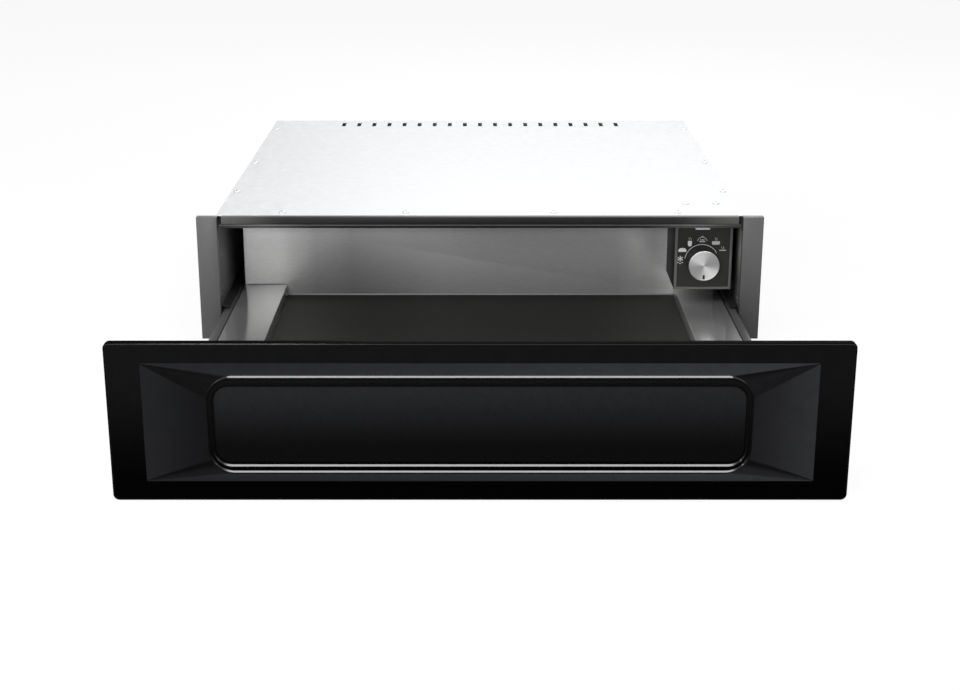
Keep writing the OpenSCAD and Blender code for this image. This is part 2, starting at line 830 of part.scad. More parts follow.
module control_fascia() {
    color("#2c2d2b") at_front() difference() {
        union() {
            box([control_in + frame_bar, fascia_face, fascia_bottom + frame_bar],
                [control_out - frame_bar, fascia_back, fascia_top - frame_bar]);
            for (x = [-1, 1])
                bar_y([dial[0] + x * (board_w / 2 - board_post_inset), 0, lens_z - board_post_drop],
                      board_post_r, fascia_face + 0.5, board_front);
        }
        bar_y(dial, bush_r + fit, fascia_face - over, fascia_back + over);
        box([dial[0] - lens_w / 2 - fit, fascia_face - over, lens_z - fit],
            [dial[0] + lens_w / 2 + fit, fascia_back + over, lens_z + lens_h + fit]);
    }
}

module indicator_lens() {
    color("#f2f4f6") at_front() union() {
        box([dial[0] - lens_w / 2, fascia_face - lens_reach, lens_z],
            [dial[0] + lens_w / 2, fascia_back + lens_flange, lens_z + lens_h]);
        box([dial[0] - lens_w / 2 - lens_flange, fascia_back, lens_z - lens_flange],
            [dial[0] + lens_w / 2 + lens_flange, fascia_back + lens_flange, lens_z + lens_h + 0.2]);
    }
}

module led_board() {
    color("#2f6b45") at_front() {
        box([dial[0] - board_w / 2, board_front, lens_z - 6.5],
            [dial[0] + board_w / 2, board_front + board_t, lens_z - 6.5 + board_h]);
        box([dial[0] - 2, board_front - 1.5, lens_z + 0.1],
            [dial[0] + 2, board_front + board_t / 2, lens_z + lens_h - 0.1]);
    }
}

module thermostat_body() {
    half = thermostat_size / 2;
    color("#d9d6cc") at_front() difference() {
        union() {
            box(dial + [-half, fascia_back, -half], dial + [half, fascia_back + thermostat_d, half]);
            bar_y(dial, bush_r, nut_front - 1, fascia_back + over);
            for (x = [-9, 0, 9])
                box(dial + [x - 2.5, fascia_back + thermostat_d - 1, -3],
                    dial + [x + 2.5, fascia_back + thermostat_d + 8, -2]);
        }
        bar_y(dial, shaft_r + bearing_fit, nut_front - 1 - over, fascia_back + thermostat_d * 0.7);
    }
}

module thermostat_nut() {
    color("#c8b273") at_front() difference() {
        translate([dial[0], nut_front, dial[2]]) rotate([-90, 0, 0])
            cylinder(r = nut_r, h = fascia_face - nut_front, $fn = 6);
        bar_y(dial, bush_r + fit / 2, nut_front - over, fascia_face + over);
    }
}

module thermostat_shaft() {
    color("#cfd1d3") at_front()
        bar_y(dial, shaft_r, knob_face + cap_t + 2, fascia_back + thermostat_d * 0.7 - 1);
}

// Hollow body of the knob, with a hub that grips the shaft
module knob_skirt() {
    r = knob_d / 2;
    back = fascia_face - 0.5;
    color("#161617") at_front() difference() {
        bar_y(dial, r, knob_face + cap_t - cap_recess, back, $fn = 96);
        difference() {
            bar_y(dial, r - skirt_wall, knob_face + cap_t + 3, back + over);
            bar_y(dial, shaft_r + 3, knob_face + cap_t, nut_front - 2);
        }
        bar_y(dial, shaft_r, knob_face + cap_t + 2, back + over);
    }
}

// Spun cap on the knob's face, with a slot for the pointer at the bottom
module knob_cap() {
    r = knob_d / 2;
    color("#d4d4d4") at_front() difference() {
        union() {
            translate([dial[0], knob_face + 0.6, dial[2]]) rotate([90, 0, 0])
                cylinder(r1 = r, r2 = r - 0.6, h = 0.6, $fn = 96);
            bar_y(dial, r, knob_face + 0.6, knob_face + cap_t - cap_recess, $fn = 96);
        }
        box(dial + [-0.9, knob_face - over, -r + 1.6], dial + [0.9, knob_face + 0.5, -r + 6.2]);
    }
}

// ---------- latch ----------

module latch_body() {
    color("#323436") at_front() difference() {
        box([-latch_half, latch_front, base_top], [latch_half, latch_rear, latch_top]);
        bar_y([0, 0, latch_z], plunger_r + fit, latch_front - over, latch_bore_end);
    }
}

module latch_plunger() {
    color("#d9dadb") at_front() difference() {
        union() {
            bar_y([0, 0, latch_z], plunger_r, plunger_tip, plunger_back);
            bar_y([0, 0, latch_z], plunger_head_r, plunger_tip, plunger_tip + plunger_head_t);
        }
        bar_y([0, 0, latch_z], plunger_r - plunger_wall, plunger_back - plunger_bore, plunger_back + over);
    }
}

// Spring behind the plunger, as one unbroken coil with a flat ring at each end
module latch_spring() {
    coil_r = plunger_r - plunger_wall - spring_wire - spring_fit;
    from_y = plunger_back - plunger_bore + spring_wire + fit;
    to_y = latch_bore_end - spring_wire - fit;
    steps = 16;
    sides = 6;
    count = spring_turns * steps;
    function ring(i) =
        let (a = 360 * i / steps, y = from_y + (to_y - from_y) * i / count)
        [for (k = [0 : sides - 1])
            let (b = 360 * k / sides, r = coil_r + spring_wire * cos(b))
            [r * cos(a), y + spring_wire * sin(b), latch_z + r * sin(a)]];
    points = [for (i = [0 : count]) each ring(i)];
    walls = [for (i = [0 : count - 1], k = [0 : sides - 1])
        let (n = (k + 1) % sides, a = i * sides, b = a + sides)
        each [[a + k, b + n, b + k], [a + k, a + n, b + n]]];
    first = [for (k = [1 : sides - 2]) [0, k + 1, k]];
    base = count * sides;
    last = [for (k = [1 : sides - 2]) [base, base + k, base + k + 1]];
    color("#b8babc") at_front() polyhedron(points = points, faces = concat(walls, first, last));
}

// Angle under the tray that meets the plunger
module latch_striker() {
    color("#9b9ea0") on_drawer() union() {
        box([-striker_half, striker_rear - trim_sheet, base_top + tray_lift],
            [striker_half, striker_rear, tray_sheet_under]);
        box([-striker_half, striker_rear - striker_foot, tray_sheet_under - trim_sheet],
            [striker_half, striker_rear, tray_sheet_under]);
    }
}

// ---------- slides, drawn on the right side ----------

// Channel with its web upright, between two distances from the side wall
module channel(web_from, flange_to, z_inset, front, back, open_to_tray) {
    z0 = slide_z + z_inset;
    z1 = slide_z + slide_h - z_inset;
    hollow_from = open_to_tray ? web_from + slide_sheet : web_from - over;
    hollow_to = open_to_tray ? flange_to + over : flange_to - slide_sheet;
    difference() {
        box([wall_in - flange_to, front, z0], [wall_in - web_from, back, z1]);
        box([wall_in - hollow_to, front - over, z0 + slide_sheet],
            [wall_in - hollow_from, back + over, z1 - slide_sheet]);
    }
}

module slide_outer() {
    difference() {
        channel(0, outer_reach, 0, slide_front, slide_front + slide_len, true);
        for (y = slide_screw_y) bar_x(wall_in - slide_sheet - over, wall_in + over, y, slide_mid_z, hole_r);
    }
}

module slide_middle() {
    channel(middle_from, middle_to, middle_z, slide_front, slide_front + slide_len, true);
}

module slide_inner() {
    back = min(slide_front + slide_len, tray_rear - sheet);
    difference() {
        channel(inner_from, slide_t, inner_z, slide_front, back, false);
        for (y = tray_screw_y)
            bar_x(tray_half - over, tray_half + slide_sheet + over, y, tray_screw_z, hole_r);
    }
}

// Cage: a thin channel with a row of balls held in each of its lips
module cage(web_from, lip_to, lip_z, ball_at) {
    z0 = slide_z + lip_z - cage_t / 2;
    z1 = slide_z + slide_h - lip_z + cage_t / 2;
    ball_y = [for (i = [0 : balls_a_row - 1]) cage_front + cage_end + i * ball_pitch];
    difference() {
        box([wall_in - lip_to, cage_front, z0], [wall_in - web_from, cage_front + cage_len, z1]);
        box([wall_in - lip_to - over, cage_front - over, z0 + cage_t],
            [wall_in - web_from - cage_t, cage_front + cage_len + over, z1 - cage_t]);
        for (y = ball_y) bar_z(wall_in - ball_at, y, z0 - over, z1 + over, ball_d / 2 + fit);
    }
    for (y = ball_y, z = [slide_z + lip_z, slide_z + slide_h - lip_z])
        translate([wall_in - ball_at, y, z]) sphere(r = ball_d / 2);
}

module outer_cage() {
    cage((slide_sheet + middle_from) / 2 - cage_t / 2, outer_reach - 0.5, slide_sheet + ball_gap / 2, 6);
}

module inner_cage() {
    web_from = (middle_from + slide_sheet + inner_from) / 2 - cage_t / 2;
    cage(web_from, middle_to, middle_z + slide_sheet + ball_gap / 2, 8);
}

module left_slide_outer() {
    color("#2f3133") at_front() mirror([1, 0, 0]) slide_outer();
}

module right_slide_outer() {
    color("#2f3133") at_front() slide_outer();
}

module left_slide_middle() {
    color("#393b3d") on_slide(0.5) mirror([1, 0, 0]) slide_middle();
}

module right_slide_middle() {
    color("#393b3d") on_slide(0.5) slide_middle();
}

module left_slide_inner() {
    color("#44474a") on_drawer() mirror([1, 0, 0]) slide_inner();
}

module right_slide_inner() {
    color("#44474a") on_drawer() slide_inner();
}

module left_outer_cage() {
    color("#b3b6b8") on_slide(0.25) mirror([1, 0, 0]) outer_cage();
}

module right_outer_cage() {
    color("#b3b6b8") on_slide(0.25) outer_cage();
}

module left_inner_cage() {
    color("#b3b6b8") on_slide(0.75) mirror([1, 0, 0]) inner_cage();
}

module right_inner_cage() {
    color("#b3b6b8") on_slide(0.75) inner_cage();
}

module slide_screws() {
    color("#c9cccf") at_front() both_sides() for (y = slide_screw_y)
        translate([wall_out, y, slide_mid_z]) rotate([0, 90, 0]) screw(shank_r, sheet + slide_sheet);
}

// ---------- front ----------

// Raised field: a rectangle at its foot, a rounded outline at its top, drawn a skin's depth in
module relief(depth) {
    foot_x = panel_w / 2 - bevel_border_x - depth;
    foot_z0 = panel_lift + bevel_border_z + depth;
    foot_z1 = panel_top - bevel_border_z - depth;
    top_x = panel_w / 2 - ring_border_x - depth;
    hull() {
        box([-foot_x, panel_face + depth, foot_z0], [foot_x, panel_face + depth + 0.1, foot_z1]);
        rounded_slab(top_x, panel_lift + ring_border_z + depth, panel_top - ring_border_z - depth,
                     panel_face - bevel_rise + depth, panel_face - bevel_rise + depth + 0.1,
                     ring_r - depth, $fn = 32);
    }
}

// Pressed front: a shallow pan with the raised field, a ring round it and posts behind
module front_panel() {
    half = panel_w / 2;
    ring_half = half - ring_border_x;
    ring_z0 = panel_lift + ring_border_z;
    ring_z1 = panel_top - ring_border_z;
    ring_top = panel_face - bevel_rise - ring_rise;
    ring_foot = panel_face - bevel_rise;
    field_face = ring_top + field_drop;
    color("#121314") on_drawer() difference() {
        union() {
            difference() {
                union() {
                    rounded_slab(half, panel_lift, panel_top, panel_face, carrier_front, panel_corner_r);
                    relief(0);
                }
                rounded_slab(half - panel_skin, panel_lift + panel_skin, panel_top - panel_skin,
                             panel_face + panel_skin, carrier_front + over, panel_corner_r - panel_skin);
                relief(panel_skin);
            }
            rounded_slab(ring_half, ring_z0, ring_z1, ring_top, field_face + panel_skin, ring_r);
            for (p = panel_posts)
                bar_y(p, panel_post_r, panel_face + (p[0] == 0 ? -middle_post_rise : panel_skin / 2),
                      carrier_back - sheet);
        }
        rounded_slab(ring_half - ring_w, ring_z0 + ring_w, ring_z1 - ring_w, ring_top - over, field_face,
                     ring_r - ring_w);
        for (p = panel_posts)
            bar_y(p, panel_pilot_r, panel_face + panel_skin + 1, carrier_back - sheet + over);
    }
}

// Folded tray behind the panel
module panel_carrier() {
    half = panel_w / 2 - carrier_inset;
    z0 = panel_lift + carrier_inset;
    z1 = panel_top - carrier_inset;
    color("#26282a") on_drawer() difference() {
        box([-half, carrier_front, z0], [half, carrier_back, z1]);
        box([-half + sheet, carrier_front - over, z0 + sheet],
            [half - sheet, carrier_back - sheet, z1 - sheet]);
        for (p = panel_posts)
            bar_y(p, panel_shank_r + fit, carrier_back - sheet - over, carrier_back + over);
        for (x = front_wall_screw_x)
            bar_y([x, 0, front_wall_screw_z], hole_r, carrier_back - sheet - over, carrier_back + over);
    }
}

// Soft stops that meet the trims
module panel_buffers() {
    color("#191919") on_drawer() both_sides()
        for (z = buffer_z) bar_y([buffer_x, 0, z], buffer_r, carrier_back, -buffer_gap);
}

module panel_screws() {
    color("#c9cccf") on_drawer() for (p = panel_posts)
        translate([p[0], carrier_back, p[2]]) rotate([-90, 0, 0])
            screw(panel_shank_r, post_screw_len, $fn = 32);
}

// ---------- tray ----------

module tray_base() {
    color("#77797a") on_drawer()
        box([-tray_half + sheet, tray_front + sheet, tray_sheet_under],
            [tray_half - sheet, tray_rear - sheet, tray_sheet_top]);
}

// Sheet across the front end of the tray, screwed to the carrier
module tray_front_wall() {
    color("#6f7173") on_drawer() difference() {
        box([-tray_half, tray_front, tray_bottom], [tray_half, tray_front + sheet, ledge_top]);
        for (x = front_wall_screw_x)
            bar_y([x, 0, front_wall_screw_z], hole_r, tray_front - over, tray_front + sheet + over);
        // Room for the heads of the panel's screws
        for (p = panel_posts) bar_y(p, 2 * panel_shank_r + fit, tray_front - over, tray_front + sheet + over);
    }
}

// Rear wall, with a flange under the floor sheet and one turned back at the top
module tray_rear_wall() {
    foot_half = tray_half - tray_flange_w - sheet - 1;
    color("#8a8c8d") on_drawer() union() {
        box([-tray_half, tray_rear - sheet, tray_sheet_under], [tray_half, tray_rear, rear_wall_top]);
        box([-foot_half, tray_rear - rear_foot_d, tray_sheet_under - sheet],
            [foot_half, tray_rear, tray_sheet_under]);
        box([-foot_half, tray_rear - sheet, tray_sheet_under - sheet], [foot_half, tray_rear, rear_wall_top]);
        box([-tray_half, tray_rear - sheet, rear_wall_top - sheet],
            [tray_half, tray_rear + rear_flange_d, rear_wall_top]);
    }
}

module floor_mat() {
    color("#2d2d2b") on_drawer()
        box([-ledge_in + mat_fit, tray_front + sheet + mat_fit, tray_sheet_top],
            [ledge_in - mat_fit, tray_rear - sheet - mat_fit, floor_top]);
}

// Right ledge: outer wall, top, inner wall, and a flange under the floor sheet
module ledge_cover() {
    front = tray_front + sheet;
    back = tray_rear - sheet;
    difference() {
        union() {
            box([tray_half - sheet, front, tray_bottom], [tray_half, back, ledge_top]);
            box([ledge_in, front, ledge_top - sheet], [tray_half, back, ledge_top]);
            box([ledge_in, front, tray_sheet_top], [ledge_in + sheet, back, ledge_top]);
            box([tray_half - tray_flange_w, front, tray_sheet_under - sheet],
                [tray_half, back, tray_sheet_under]);
        }
        for (y = tray_screw_y)
            bar_x(tray_half - sheet - over, tray_half + over, y, tray_screw_z, hole_r);
    }
}

module left_ledge_cover() {
    color("#8b8d8e") on_drawer() mirror([1, 0, 0]) ledge_cover();
}

module right_ledge_cover() {
    color("#8b8d8e") on_drawer() ledge_cover();
}

// Screws through the ledges into the inner slides, and through the front wall into the carrier
module tray_screws() {
    color("#c9cccf") on_drawer() {
        both_sides() for (y = tray_screw_y)
            translate([tray_half - sheet, y, tray_screw_z]) rotate([0, -90, 0])
                screw(shank_r * 0.85, sheet + slide_sheet);
        for (x = front_wall_screw_x)
            translate([x, tray_front + sheet, front_wall_screw_z]) rotate([-90, 0, 0])
                screw(shank_r, sheet + sheet + 2);
    }
}

base_pan();
left_side_wall();
right_side_wall();
top_cover();
rear_panel();
rear_bulkhead();
front_rail();
rail_lip();
left_trim();
right_trim();
feet();
casing_screws();
cable_gland();
terminal_block();
wiring_duct();
wiring_loom();
fan_motor();
motor_bracket();
heating_ring();
thermal_cutout();
fan_impeller();
fan_shaft();
control_box();
fascia_frame();
control_fascia();
indicator_lens();
led_board();
thermostat_body();
thermostat_nut();
thermostat_shaft();
knob_skirt();
knob_cap();
latch_body();
latch_plunger();
latch_spring();
latch_striker();
left_slide_outer();
right_slide_outer();
left_slide_middle();
right_slide_middle();
left_slide_inner();
right_slide_inner();
left_outer_cage();
right_outer_cage();
left_inner_cage();
right_inner_cage();
slide_screws();
front_panel();
panel_carrier();
panel_buffers();
panel_screws();
tray_base();
tray_front_wall();
tray_rear_wall();
floor_mat();
left_ledge_cover();
right_ledge_cover();
tray_screws();
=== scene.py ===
"""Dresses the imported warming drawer: finishes, rounded edges, the pressed front and the dial's marks."""
import json
import math

import bmesh
import bpy
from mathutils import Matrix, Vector


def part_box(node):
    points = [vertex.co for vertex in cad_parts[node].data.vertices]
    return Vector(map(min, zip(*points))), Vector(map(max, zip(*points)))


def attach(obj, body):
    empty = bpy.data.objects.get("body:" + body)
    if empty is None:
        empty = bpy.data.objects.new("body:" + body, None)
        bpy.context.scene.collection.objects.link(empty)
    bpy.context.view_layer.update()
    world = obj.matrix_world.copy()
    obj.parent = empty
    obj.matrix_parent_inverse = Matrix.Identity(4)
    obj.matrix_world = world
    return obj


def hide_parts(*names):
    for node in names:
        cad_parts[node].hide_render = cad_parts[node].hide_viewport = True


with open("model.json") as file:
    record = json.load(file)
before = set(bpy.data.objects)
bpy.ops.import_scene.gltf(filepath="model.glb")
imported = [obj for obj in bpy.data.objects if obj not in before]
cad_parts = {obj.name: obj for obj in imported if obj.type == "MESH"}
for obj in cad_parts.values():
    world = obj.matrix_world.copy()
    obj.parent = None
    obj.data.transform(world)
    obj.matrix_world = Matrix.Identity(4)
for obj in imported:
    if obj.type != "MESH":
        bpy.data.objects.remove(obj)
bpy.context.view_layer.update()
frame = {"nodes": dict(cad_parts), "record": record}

MM = 0.001

# ---------- camera, in an image of 960 x 690 pixels ----------

IMAGE_WIDTH = 960
SENSOR_MM = 36
LENS_MM = 58.356
CAMERA_PLACE = (0, -1.6142, 0.5394)
CAMERA_PITCH = math.radians(17.101)
SHIFT_DOWN_PX = 58


def make_camera():
    """The photograph's view: from the front, above the open drawer and looking down on it."""
    data = bpy.data.cameras.new("camera")
    data.sensor_width = SENSOR_MM
    data.lens = LENS_MM
    data.shift_y = -SHIFT_DOWN_PX / IMAGE_WIDTH
    camera = bpy.data.objects.new("camera", data)
    camera.location = CAMERA_PLACE
    camera.rotation_euler = (math.pi / 2 - CAMERA_PITCH, 0, 0)
    bpy.context.scene.collection.objects.link(camera)
    bpy.context.scene.camera = camera


# ---------- lights and stage ----------

AMBIENT = 0.55
WHITE = (1, 1, 1, 1)
FLOOR_COLOUR = (0.88, 0.88, 0.88, 1)
FLOOR_GLOW = 0.88
FLOOR_HALF = 8
FRONT_MIDDLE = (0, -0.46, 0.07)
# name, place, what it points at, size and watts
LAMPS = (
    ("overhead", (0, -1.05, 1.45), FRONT_MIDDLE, (1.5, 0.25), 18),
    ("left_fill", (-1.5, -1.0, 0.9), (0, 0, 0.1), (0.9, 0.9), 12),
    ("right_fill", (1.6, -0.9, 0.8), (0, 0, 0.1), (0.9, 0.9), 2),
    ("front_left", (-0.44, -1.9, 0.6), (-0.25, 0, 0.07), (0.3, 0.3), 10),
    ("back_fill", (0.3, 1.6, 1.2), (0, 0.2, 0.1), (1.4, 0.8), 12),
)


def seen_directly(tree):
    """1 where a camera, glossy or transmission ray arrives, and 0 elsewhere."""
    path = tree.nodes.new("ShaderNodeLightPath")
    total = path.outputs["Is Camera Ray"]
    for name in ("Is Glossy Ray", "Is Transmission Ray"):
        larger = tree.nodes.new("ShaderNodeMath")
        larger.operation = "MAXIMUM"
        tree.links.new(total, larger.inputs[0])
        tree.links.new(path.outputs[name], larger.inputs[1])
        total = larger.outputs[0]
    return total


def make_world():
    """A plain pale surround, pure white where it is seen directly or mirrored."""
    world = bpy.data.worlds.new("studio")
    world.use_nodes = True
    tree = world.node_tree
    tree.nodes.clear()
    soft = tree.nodes.new("ShaderNodeBackground")
    soft.inputs["Strength"].default_value = AMBIENT
    white = tree.nodes.new("ShaderNodeBackground")
    mix = tree.nodes.new("ShaderNodeMixShader")
    out = tree.nodes.new("ShaderNodeOutputWorld")
    for background in (soft, white):
        background.inputs["Color"].default_value = WHITE
    tree.links.new(seen_directly(tree), mix.inputs[0])
    tree.links.new(soft.outputs[0], mix.inputs[1])
    tree.links.new(white.outputs[0], mix.inputs[2])
    tree.links.new(mix.outputs[0], out.inputs["Surface"])
    bpy.context.scene.world = world


def make_floor():
    """A wide pale floor that keeps the object's shadow."""
    mesh = bpy.data.meshes.new("floor")
    corners = [(x * FLOOR_HALF, y * FLOOR_HALF, 0) for x, y in ((-1, -1), (1, -1), (1, 1), (-1, 1))]
    mesh.from_pydata(corners, [], [(0, 1, 2, 3)])
    floor = bpy.data.objects.new("floor", mesh)
    bpy.context.scene.collection.objects.link(floor)
    material = bpy.data.materials.new("floor")
    material.use_nodes = True
    tree = material.node_tree
    tree.nodes.clear()
    matt = tree.nodes.new("ShaderNodeBsdfDiffuse")
    matt.inputs["Color"].default_value = FLOOR_COLOUR
    glow = tree.nodes.new("ShaderNodeEmission")
    glow.inputs["Color"].default_value = WHITE
    glow.inputs["Strength"].default_value = 1
    share = tree.nodes.new("ShaderNodeMath")
    share.operation = "MULTIPLY"
    share.inputs[1].default_value = FLOOR_GLOW
    mix = tree.nodes.new("ShaderNodeMixShader")
    out = tree.nodes.new("ShaderNodeOutputMaterial")
    tree.links.new(seen_directly(tree), share.inputs[0])
    tree.links.new(share.outputs[0], mix.inputs[0])
    tree.links.new(matt.outputs[0], mix.inputs[1])
    tree.links.new(glow.outputs[0], mix.inputs[2])
    tree.links.new(mix.outputs[0], out.inputs["Surface"])
    mesh.materials.append(material)


def softbox(name, place, target, size, watts):
    """A rectangular lamp at a place, turned towards a target."""
    light = bpy.data.lights.new(name, "AREA")
    light.shape = "RECTANGLE"
    light.size, light.size_y = size
    light.energy = watts
    lamp = bpy.data.objects.new(name, light)
    lamp.location = place
    aim = Vector(target) - Vector(place)
    lamp.rotation_euler = aim.to_track_quat("-Z", "Y").to_euler()
    bpy.context.scene.collection.objects.link(lamp)


def make_lights():
    for lamp in LAMPS:
        softbox(*lamp)


# ---------- materials ----------

# how often the grain repeats along X, Y and Z per metre
ALONG_X = (110, 1300, 1300)
FINE = (900, 900, 900)
COARSE = (120, 120, 120)
GRAIN_HEIGHT = 0.1 * MM
# values of the noise where the grain is darkest and lightest
GRAIN_LOW, GRAIN_HIGH = 0.3, 0.7
LEAST_ROUGH = 0.02

panel_low, panel_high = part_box("front_panel")
knob_low, knob_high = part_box("knob_skirt")
DIAL = Vector(((knob_low.x + knob_high.x) / 2, 0, (knob_low.z + knob_high.z) / 2))

# The knob's cap: pairs of light and dark sectors of painted sheen, how far round they are turned,
# their two tones, and the number and strength of the fine turning rings
SHEEN_PAIRS = 2.0
SHEEN_TURN = -2.51
SHEEN_TONES = (0.44, 1.06)
RING_SCALE = 1200.0
RING_TONE = 0.06

# Painted shade and reflection on the slopes of the front: tones by how far a face looks up, and where a
# face counts as a flat side.
# The spans are two places along X and their tones, for those sides and for the whole: lighter outwards and
# to the right.
STEEPEST = 0.56
SLOPE_TONES = ((-0.5, 1.15), (-0.46, 1.15), (-0.3, 0.7), (-0.16, 0.5), (-0.115, 0.1), (-0.085, 0.1),
               (-0.075, 0.5), (0.02, 0.5), (0.028, 0.26), (0.16, 0.32), (0.24, 0.13), (0.36, 0.13),
               (0.46, 1.0), (0.5, 1.0))
SIDE_SHARE = ((-0.5, 0), (-0.09, 0), (-0.075, 1), (0.02, 1), (0.028, 0), (0.5, 0))
SIDE_SPAN = (0.215, 0.275, 0.42, 1.0)
SLOPE_SPAN = (-0.28, 0.28, 0.8, 1.75)

# The bright edges of the front: shine of faces that look up, and of the others
EDGE_SHINE = 0.36
DULL_SHINE = 0.02
SHINE_FROM, SHINE_TO = 0.15, 0.4

# Painted light and reflection on the tray's rear wall and on the lip under the rail: tones by X in metres
TONES_REACH = 0.3
WALL_PAINTED_LIGHT = ((-0.258, 1.0), (-0.235, 0.84), (-0.22, 0.68), (-0.205, 0.47), (-0.18, 0.28), (-0.14, 0.19),
              (-0.08, 0.24), (-0.04, 0.31), (0.01, 0.36), (0.06, 0.4), (0.15, 0.43), (0.19, 0.66),
              (0.207, 1.0))
LIP_PAINTED_SHEEN = ((0, 0.13), (0.17, 0.145), (0.195, 0.34), (0.22, 0.5), (0.245, 0.31), (0.263, 0.15))


def node_of(tree, kind, **values):
    """Adds a node and sets its own properties."""
    node = tree.nodes.new("ShaderNode" + kind)
    for name, value in values.items():
        setattr(node, name, value)
    return node


def feed(tree, node, **inputs):
    """Sets or links inputs, named in lower case with _ for a space."""
    names = {socket.name.lower().replace(" ", "_"): socket for socket in reversed(node.inputs)}
    for name, value in inputs.items():
        if isinstance(value, bpy.types.NodeSocket):
            tree.links.new(value, names[name])
        else:
            names[name].default_value = value
    return node


def calculate(tree, operation, first, second=0.0):
    """The result of a Math node; both values may be numbers or sockets."""
    node = node_of(tree, "Math", operation=operation)
    for socket, value in zip(node.inputs, (first, second)):
        if isinstance(value, bpy.types.NodeSocket):
            tree.links.new(value, socket)
        else:
            socket.default_value = value
    return node.outputs[0]


def span(tree, value, low, high, out_low, out_high):
    """Turns a value between two limits smoothly into one between two others."""
    node = node_of(tree, "MapRange", interpolation_type="SMOOTHSTEP")
    feed(tree, node, value=value, from_min=low, from_max=high, to_min=out_low, to_max=out_high)
    return node.outputs[0]


def blend_colours(tree, kind, share, first, second):
    """The second colour laid on the first, with a blend of this kind and share."""
    node = node_of(tree, "Mix", data_type="RGBA", blend_type=kind)
    for index, value in ((0, share), (6, first), (7, second)):
        if isinstance(value, bpy.types.NodeSocket):
            tree.links.new(value, node.inputs[index])
        else:
            node.inputs[index].default_value = value
    return node.outputs[2]


def colour_ramp(tree, value, stops, low=0.0, high=1.0):
    """Colours along a value; stops are (value, colour) pairs between low and high."""
    node = node_of(tree, "ValToRGB")
    elements = node.color_ramp.elements
    while len(elements) < len(stops):
        elements.new(0.5)
    for element, (place, _) in zip(elements, stops):
        element.position = (place - low) / (high - low)
    for element, (_, colour) in zip(elements, stops):
        element.color = tuple(colour) + (1,)
    scaled = calculate(tree, "MULTIPLY", calculate(tree, "SUBTRACT", value, low), 1 / (high - low))
    feed(tree, node, fac=scaled)
    return node.outputs[0]


def tones(tree, value, stops, reach):
    """Greys along a value; stops are (value, tone) pairs between -reach and reach."""
    return colour_ramp(tree, value, [(at, (tone, tone, tone)) for at, tone in stops], -reach, reach)


def multiply(tree, colour, tone):
    """A colour darkened or lightened by a tone."""
    return blend_colours(tree, "MULTIPLY", 1.0, colour, tone)


def texture_place(tree, kind="Object"):
    """Outputs X, Y and Z of a point, or with Normal those of the way that its face points."""
    place = node_of(tree, "TexCoord").outputs[kind]
    return feed(tree, node_of(tree, "SeparateXYZ"), vector=place).outputs


def surface(name, colour, rough, metal=0.0, specular=0.5, grain=FINE, depth=0.05, spread=0.08,
            rough_spread=0.06, brushed=0.0, grain_axis=None, fade=None, detail=5):
    """A finish with grain. depth is the grain's strength, and spread and rough_spread are how far
    colour and roughness wander with it. grain_axis is the axis that the brushing goes round. The shade
    by height holds two heights, and the tones of the colour below and above them: painted shade."""
    material = bpy.data.materials.new(name)
    material.use_nodes = True
    tree = material.node_tree
    bsdf = tree.nodes["Principled BSDF"]
    feed(tree, bsdf, metallic=metal, specular_ior_level=specular, anisotropic=brushed)
    place = node_of(tree, "TexCoord").outputs["Object"]
    stretch = feed(tree, node_of(tree, "Mapping"), vector=place, scale=grain)
    noise = feed(tree, node_of(tree, "TexNoise"), vector=stretch.outputs[0], scale=1.0, detail=detail,
                 roughness=0.6)
    grey = noise.outputs[0]
    shades = [tuple(min(1, c * share) for c in colour) for share in (1 - spread, 1 + spread)]
    base = colour_ramp(tree, grey, [(GRAIN_LOW, shades[0]), (GRAIN_HIGH, shades[1])])
    if fade:
        height = feed(tree, node_of(tree, "SeparateXYZ"), vector=place).outputs["Z"]
        base = multiply(tree, base, span(tree, height, *fade))
    bump = feed(tree, node_of(tree, "Bump"), strength=depth, distance=GRAIN_HEIGHT, height=grey)
    smoothest = max(LEAST_ROUGH, rough - rough_spread)
    feed(tree, bsdf, base_color=base, normal=bump.outputs[0],
         roughness=span(tree, grey, GRAIN_LOW, GRAIN_HIGH, smoothest, rough + rough_spread))
    if grain_axis:
        turn = node_of(tree, "Tangent", direction_type="RADIAL", axis=grain_axis)
        feed(tree, bsdf, tangent=turn.outputs[0])
    return material


def enamel(name, colour, rough, specular, fade=None):
    """A smooth finish with hardly any grain."""
    return surface(name, colour, rough, specular=specular, grain=COARSE, depth=0.01, rough_spread=0.02,
                   fade=fade)


def brushed_metal(name, colour, rough, metal, **more):
    """A metal with long grain from left to right."""
    return surface(name, colour, rough, metal=metal, grain=ALONG_X, grain_axis="X", detail=4, **more)


def tint(material, *changes):
    """Passes a finish's colour through each change(tree, colour), which returns another."""
    tree = material.node_tree
    socket = tree.nodes["Principled BSDF"].inputs["Base Color"]
    for change in changes:
        tree.links.new(change(tree, socket.links[0].from_socket), socket)
    return material


def along(axis, near, far, start, end, both_sides=False):
    """A tint that goes smoothly from one tone to another along an axis."""
    def change(tree, colour):
        place = texture_place(tree)[axis]
        if both_sides:
            place = calculate(tree, "ABSOLUTE", place)
        return multiply(tree, colour, span(tree, place, near, far, start, end))
    return change


def across(stops, both_sides=False):
    """A tint that follows (X, tone) pairs across the object."""
    def change(tree, colour):
        place = texture_place(tree)["X"]
        if both_sides:
            place = calculate(tree, "ABSOLUTE", place)
        return multiply(tree, colour, tones(tree, place, stops, TONES_REACH))
    return change


